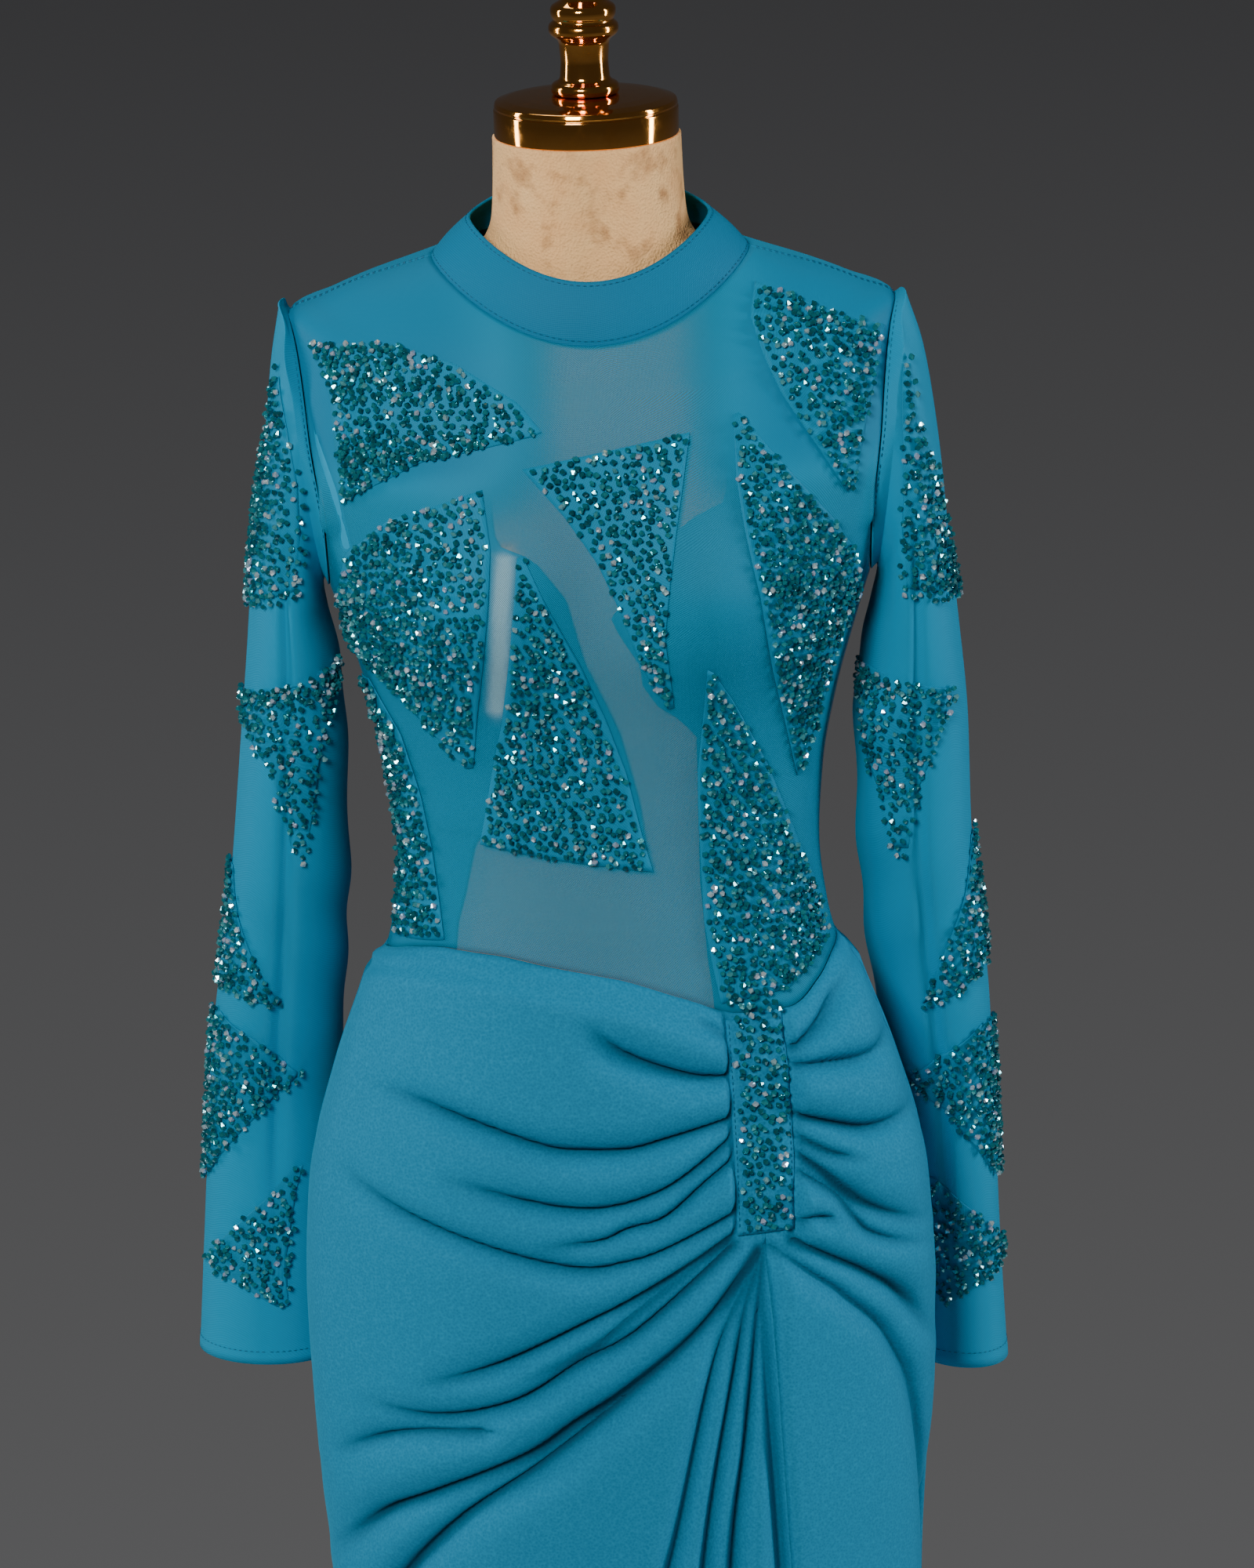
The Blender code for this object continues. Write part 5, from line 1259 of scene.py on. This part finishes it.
def bodice_levels(count):
    """Levels close together round the armhole, as the sine of even turns."""
    low = level_at(WAIST_SIDE)
    turns = np.sin(np.linspace(-math.pi / 2, math.pi / 2, count))
    below = np.linspace(low, ARM_MIDDLE - ARM_HALF, count, endpoint=False)
    above = np.linspace(ARM_MIDDLE + ARM_HALF, NECK_LEVEL, count // 2)[1:]
    return np.concatenate([below, ARM_MIDDLE + ARM_HALF * turns, above])


def bodice_out(angle, level):
    """Small folds of the net: drag lines at the armholes, dips at the seams."""
    x, _, z = np.moveaxis(dress_surface(angle, level), -1, 0)
    out = np.zeros(np.shape(x))
    front = np.abs(angle) < 90
    for depth, width, points in NET_FOLDS:
        away = line_distance(x, z, points)
        out = out + np.where(front, depth * bell(away / width), 0.0)
    edge = 90 - arm_opening(level)
    clear = np.radians(np.abs(np.abs(angle) - np.where(front, edge, 180 - edge))) * 0.16
    return out * smooth(clear / 0.008) - SEAM_DIP * bell(clear / SEAM_WIDTH)


def pale_band(side, x, z):
    """Strength of a side's pale band, and its share at places: a flat-topped bell."""
    depth, width, points = PALE_BANDS[side]
    return depth, np.exp(-(line_distance(x, z, points) / width) ** 4)


def make_bodice():
    """The net bodice: front, two backs that turn in at the zip.

    Its tone makes the net closer over the shoulders and thinner over a pad.
    """
    levels = bodice_levels(46)
    edge = 90 - arm_opening(levels)
    zip_edge = 180 - angle_at(ZIP_PART, levels)
    for name, start, end, columns in (("bodice_front", -edge, edge, 121),
                                      ("bodice_back_left", 180 - edge, zip_edge, 61),
                                      ("bodice_back_right", -zip_edge, edge - 180, 61)):
        grid = bodice_grid(levels, lambda _: (start, end), columns, bodice_out)
        x, z = grid[..., 0], grid[..., 2]
        close = np.maximum(smooth((-x - 0.012) / 0.080), smooth((x - 0.040) / 0.075))
        if name == "bodice_front":
            close = close * smooth((z - 1.335) / 0.045) - PALE_NET * pale_band(-1, x, z)[1]
        else:
            close = (0.35 + 0.65 * close) * smooth((z - 1.26) / 0.17)
        piece = cloth_piece(name + "_net", grid, SHEER_NET, name, NET_WALL, tone=close)


def make_linings():
    """Linings cut to a curved inner edge, from there round to the side seam."""
    levels = bodice_levels(40)
    levels = levels[levels < LINING_TOP]
    for side, name, cut in ((1, "lining_left", LEFT_LINING_EDGE),
                            (-1, "lining_right", RIGHT_LINING_EDGE)):
        cut_z, cut_x = np.transpose(cut)

        def edges(level):
            """The cut edge and the side seam at each level, from right to left."""
            height = eased(RINGS, level)[..., 4]
            for _ in range(3):
                start = angle_at(np.interp(height, cut_z, cut_x), level)
                height = dress_surface(start, level)[..., 2]
            return (start, stop) if side > 0 else (stop, start)

        stop = side * (89.6 - arm_opening(levels))
        grid = bodice_grid(levels, edges, 61, lambda angle, level: -LINING_INSET)
        depth, share = pale_band(side, grid[..., 0], grid[..., 2])
        piece = cloth_piece(name + "_satin", grid, LINING, name, LINING_WALL,
                            tone=np.clip(depth * share, 0, 1))


def collar_point(angle, share, out=0.0):
    """The collar: straight from neck seam to top edge, bulging by a half sine."""
    angle, share = np.broadcast_arrays(angle, share)
    foot = dress_surface(angle, np.full(angle.shape, NECK_LEVEL))
    turn = np.radians(angle)
    bulge = COLLAR_BULGE * np.sin(math.pi * share) + out
    return (foot + (level_ring(turn, COLLAR_TOP) - foot) * share[..., None]
            + outward(turn) * bulge[..., None])


def make_collar():
    """The stand collar, two layers of net with a rolled top edge."""
    part = math.degrees(ZIP_PART * 0.5 / 0.068)
    angle = np.linspace(-180 + part, 180 - part, 181)[None]
    share = np.linspace(-0.015, 1, 26)[:, None]
    roll = COLLAR_ROLL * smooth((share - 0.90) / 0.10) * (1 - smooth((share - 0.97) / 0.03))
    press = -SEAM_DIP * bell((share - 0.02) / 0.03)
    grid = collar_point(angle, share + 0 * angle, roll + press + 0 * angle)
    piece = cloth_piece("collar_net_double", grid, COLLAR_NET, "collar", COLLAR_WALL)


def skirt_heights(count, low_count):
    """Heights of the skirt's rows: even through the gathers, wider below."""
    upper = np.linspace(WAIST_SIDE, ROWS_EVEN, count)
    share = np.linspace(0, 1, low_count + 1)[1:]
    return np.concatenate([upper, ROWS_EVEN - ROWS_REACH * share ** ROWS_POWER])


def skirt_grid(heights, shares, edges):
    """A skirt panel from the waist seam down, angles between its two edges.

    An edge without an angle is the line where the two front panels meet.
    """
    low, end = level_at(WAIST_SIDE), level_at(WAIST_BLEND_DOWN)
    level = level_at(heights)
    blend = np.clip((level - end) / (low - end), 0, 1)
    here = level + (level_at(seam_height(STRIP_ANGLE)) - low) * blend
    meet = angle_at(np.interp(eased(RINGS, here)[:, 3], *SKIRT_DIVISION.T), here)
    start, stop = (meet if edge is None else np.full(here.shape, edge) for edge in edges)
    angle = start[:, None] + (stop - start)[:, None] * shares[None]
    shift = np.where(np.abs(angle) <= 90, level_at(seam_height(angle)) - low, 0.0)
    bent = level[:, None] + shift * blend[:, None]
    out, sag, floor = skirt_out(angle, bent)
    grid = dress_point(angle, bent, out)
    grid[..., 2] -= sag
    # The floor values are painted shade for the creases, returned to be kept as tone
    return grid, floor


def make_skirt():
    """The crepe skirt: front drape, front side panel and back."""
    close = 1 - (1 - np.linspace(0, 1, 197)) ** 1.15
    for name, count, low_count, shares, edges in (
            ("skirt_front_drape", 184, 46, close, (-90.0, None)),
            ("skirt_front_side", 150, 46, np.linspace(0, 1, 81), (None, 90.0)),
            ("skirt_back", 60, 50, np.linspace(0, 1, 121), (90.0, 270.0))):
        grid, floor = skirt_grid(skirt_heights(count, low_count), shares, edges)
        # The crepe's tone paints shade along the floor of each crease
        piece = cloth_piece(name + "_crepe", grid, CREPE, name, CREPE_WALL, flip=True,
                            tone=floor)


def strip_surface(row, share):
    """Places on the strip: a row from 0 at its top to 1 at its bottom."""
    z = STRIP_HEAD + (STRIP_BOTTOM - STRIP_HEAD) * row
    left, right = strip_edges(z)
    level = level_at(z)
    angle = angle_at(left + (right - left) * share, level)
    normal = dress_normal(angle, level)
    return dress_surface(angle, level) + normal * STRIP_TOP, normal


def make_strip():
    """The beaded strip: its cloth, pressed down along its edges, and its beads."""
    row, share = np.meshgrid(np.linspace(0, 1, 60), np.linspace(0, 1, 18), indexing="ij")
    grid, normal = strip_surface(row, share)
    edge = np.minimum(np.minimum(share, 1 - share) * 0.033, np.minimum(row, 1 - row) * 0.125)
    grid = grid - normal * (0.0008 * (1 - smooth(edge / 0.0016)))[..., None]
    piece = cloth_piece("strip_cloth", grid, CREPE, "beaded_strip", STRIP_WALL,
                        flip=True)
    beads = beads_on("strip_beads", lambda r, s: strip_surface(r * 1.05 - 0.07, 0.10 + s * 0.84),
                     1.0, STRIP_BEAD_PITCH, STRIP_BEAD_SIZE, 41, 0.0)


def between_edges(bands, row, share):
    """Both values of places in a band, straight from its first edge to its second."""
    edges = between(bands, np.arange(len(bands)), row)
    near, far = edges[..., :2], edges[..., 2:]
    return np.moveaxis(near + (far - near) * share[..., None], -1, 0)


def patch_surface(bands):
    """Places on a bodice patch: straight between its left and right edges."""
    def place(row, share):
        """Points and normals at rows and shares across."""
        angle, level = on_front(*between_edges(bands, row, share))
        return dress_surface(angle, level), dress_normal(angle, level)

    return place


def sleeve_patch_surface(table, hand, bands):
    """Places on a sleeve's patch: straight between its two edges."""
    bands = np.array(bands, float)
    bands[:, 3] += np.where(bands[:, 3] > WRAP_FROM, WRAP, 0.0)

    def place(row, share):
        """Points and normals at rows and shares across."""
        height, turn = between_edges(bands, row, share)
        position = sleeve_position(table, turn, height)
        return sleeve_point(hand, table, turn, position, sleeve_out(table, turn, position))

    return place


def beaded_patch(node, surface, last_row, seed, pitch, side, flip):
    """A patch: its net, drawn past its edges where a side is below 0, and beads."""
    rows = np.linspace(max(side, 0.0), 1 - max(side, 0.0), 40) * last_row
    row, share = np.meshgrid(rows, np.linspace(side, 1 - side, 24), indexing="ij")
    point, normal = surface(row, share)
    grid = point + normal * (PATCH_LIFT + PATCH_WALL)
    net = cloth_piece(node + "_net", grid, BEAD_NET, node, PATCH_WALL, flip=flip)
    beads = beads_on(node + "_beads", surface, last_row, pitch, BEAD_SIZE, seed,
                     PATCH_LIFT + PATCH_WALL)


def make_patches():
    """Beaded patches on the bodice and down the front of each sleeve."""
    for number, (name, bands) in enumerate(BODICE_PATCHES.items()):
        beaded_patch("patch_" + name, patch_surface(bands), len(bands) - 1.0, 100 + number,
                     BEAD_PITCH, -0.02, True)
    for hand, side, table, patches in SLEEVES:
        for number, (name, bands) in enumerate(patches.items()):
            beaded_patch(f"patch_sleeve_{side}_{name}", sleeve_patch_surface(table, hand, bands),
                         len(bands) - 1.0, 200 + 10 * hand + number, SLEEVE_BEAD_PITCH, 0.04,
                         hand > 0)


def make_sleeves():
    """Sleeves from armhole to cuff, open at both ends, with a turned-up hem."""
    for hand, side, table, _ in SLEEVES:
        name = "sleeve_" + side
        last = len(table) - 1.0
        position = np.concatenate([np.linspace(-1, 0, 20, endpoint=False),
                                   np.linspace(0, last, 170)])[:, None]
        turn = np.linspace(0, 360, 96, endpoint=False)[None]
        out = sleeve_out(table, turn, position) - SEAM_DIP * bell((position + 1) / 0.25)
        out = out + HEM_RISE * smooth((position - last + CUFF_SHARE) / 0.05)
        grid = sleeve_point(hand, table, turn, position, out)[0]
        piece = cloth_piece(name + "_net", grid, NET, name, SLEEVE_WALL, wrap=True,
                            flip=hand > 0)


def form_rings(columns):
    """Rings of the padded form: the dress moved in, then a table for the neck."""
    angle = np.linspace(0, 360, columns, endpoint=False)
    levels = np.linspace(FORM_LOW, NECK_LEVEL, 120)[:, None]
    body = dress_point(np.where(angle > 180, angle - 360, angle)[None] + 0 * levels,
                       levels + 0 * angle[None], -FORM_INSET)
    rings = np.array([level_ring(np.radians(angle), ring) for ring in NECK_RINGS])
    control = np.concatenate([body[-1:], rings]).reshape(len(rings) + 1, -1)
    neck = eased(control, np.linspace(0, len(rings), 60)[1:])
    return np.concatenate([body, neck.reshape(-1, columns, 3)])


def make_form():
    """The velvet form, its brass cap and finial, the pole and the base."""
    form = capped_piece("form_padding", form_rings(96), VELVET, ("form_body",))
    for row in TURNED:
        turned_piece(*row)


def make_seams():
    """Topstitching along shoulders, collar, cuffs, armholes, strip and hem."""
    lines = []
    level = np.linspace(17.05, 20.9, 60)
    for side in (1, -1):
        for offset in (-2.6, 2.6):
            angle = side * (90 + offset / eased(RINGS, level)[:, 0] * 0.057)
            lines.append((dress_surface(angle, level), dress_normal(angle, level)))
    angle = np.linspace(-176, 176, 300)
    for share, out in ((0.075, 0.0), (0.94, STITCH_LIFT)):
        lines.append((collar_point(angle, np.full(300, share), out),
                      outward(np.radians(angle))))
    turn = np.linspace(0, 360, 160)
    for hand, _, table, _ in SLEEVES:
        for place in (len(table) - 1.0 - CUFF_SHARE, -0.86):
            position = np.full(160, place)
            out = sleeve_out(table, turn, position) + STITCH_LIFT
            lines.append(sleeve_point(hand, table, turn, position, out))
    edge = np.array([(0.0, 0.045), (1.0, 0.045), (1.0, 0.955), (0.0, 0.955)])
    share = np.linspace(0, 1, 90)[:, None]
    for start, stop in zip(edge, edge[1:]):
        row, across = (start + (stop - start) * share).T
        lines.append(strip_surface(0.012 + row * 0.976, across))
    stitches("seam_stitches", lines, 0.0024, 0.0012)
    angle = np.linspace(-180, 180, 700)
    level = np.full(700, level_at(0.052))
    hem = dress_point(angle, level, skirt_out(angle, level)[0] + 0.0001)
    stitches("hem_stitches", [(hem, dress_normal(angle, level))], 0.0030, 0.0024)


def tube(name, path, radius, sides, material, slot):
    """A round tube along a path: circles square to it at every point."""
    ahead = unit(np.gradient(path, axis=0))
    first = unit(np.cross(ahead, np.array([0.0, 1.0, 0.02])))
    second = np.cross(ahead, first)
    turn = np.linspace(0, 2 * math.pi, sides, endpoint=False)[None, :, None]
    rings = path[:, None] + radius * (first[:, None] * np.cos(turn)
                                      + second[:, None] * np.sin(turn))
    return capped_piece(name, rings, material)


def make_zip():
    """The zip: woven tape, coils of teeth, and better metal on its CAD parts."""
    level = level_at(np.linspace(0.915, 1.474, 120)[:, None], BACK_HEIGHTS)
    half = angle_at(TAPE_HALF, level) * np.linspace(-1, 1, 13)[None]
    grid = dress_point(180 + half, level + 0 * half, -TAPE_INSET)
    tape = cloth_piece("zip_tape_cloth", grid, TAPE, "zip_tape", TAPE_WALL)
    share = np.linspace(0, 1, COIL_TURNS * 8)
    low = level_at(WAIST_SIDE, BACK_HEIGHTS) + 0.15
    level = low + (NECK_LEVEL - 0.05 - low) * share
    middle = dress_point(np.full(share.shape, 180.0), level, -COIL_INSET)
    turn = share * COIL_TURNS * 2 * math.pi
    coil = middle + np.stack([COIL_SIDE * np.cos(turn), COIL_DEEP * np.sin(turn), 0 * turn],
                             axis=-1)
    tube("zip_coil", coil, COIL_THICK, 5, ZIP_METAL, "zip_metal")
    for node in ("zip_slider", "zip_pull"):
        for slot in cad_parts[node].material_slots:
            slot.material = ZIP_METAL


def placed(name, data, place):
    """An object linked to the scene at a place."""
    thing = bpy.data.objects.new(name, data)
    thing.location = place
    bpy.context.scene.collection.objects.link(thing)
    return thing


def add_light(name, place, target, size, power, colour):
    """A soft light of a width and height, aimed at a place."""
    data = bpy.data.lights.new(name, "AREA")
    data.shape = "RECTANGLE"
    data.size, data.size_y = size
    data.energy = power
    data.color = colour
    aim = Vector(target) - Vector(place)
    placed(name, data, place).rotation_euler = aim.to_track_quat("-Z", "Y").to_euler()


def make_studio():
    """Camera at the photograph's angle, a pale round floor and soft lights."""
    data = bpy.data.cameras.new("camera")
    data.lens = CAMERA_LENS
    data.sensor_width = 36.0
    camera = placed("camera", data, CAMERA_PLACE)
    aim = (Vector(CAMERA_TARGET) - Vector(CAMERA_PLACE)).to_track_quat("-Z", "Y")
    roll = Quaternion((0, 0, 1), math.radians(-CAMERA_ROLL))
    camera.rotation_euler = (aim @ roll).to_euler()
    bpy.context.scene.camera = camera

    turn = np.linspace(0, 2 * math.pi, 96, endpoint=False)
    rim = np.stack([FLOOR_RADIUS * np.cos(turn), FLOOR_RADIUS * np.sin(turn),
                    np.full(96, -FLOOR_DROP)], axis=-1)
    floor = placed("floor", new_mesh("floor", rim, [np.arange(96)[None]]), (0, 0, 0))
    material, _, shader = new_material("pale_floor")
    feed(shader, Base_Color=(0.72, 0.71, 0.69), Roughness=0.75)
    floor.data.materials.append(material)

    world = bpy.data.worlds.new("studio")
    world.use_nodes = True
    tree = world.node_tree
    towards = tree.nodes.new("ShaderNodeTexCoord").outputs["Generated"]
    share = math_node(tree, "ADD", parts_of(tree, towards)["Z"], 1.0)
    grey = ramp(tree, share, ((0.58, (0.104, 0.104, 0.106)), (0.84, (0.042, 0.042, 0.044))))
    feed(tree.nodes["Background"], Color=grey)
    bpy.context.scene.world = world
    for light in LIGHTS:
        add_light(*light)


def main():
    """Make every piece, then the studio."""
    make_form()
    make_bodice()
    make_linings()
    make_collar()
    make_skirt()
    make_strip()
    make_sleeves()
    make_patches()
    make_seams()
    make_zip()
    make_studio()


main()
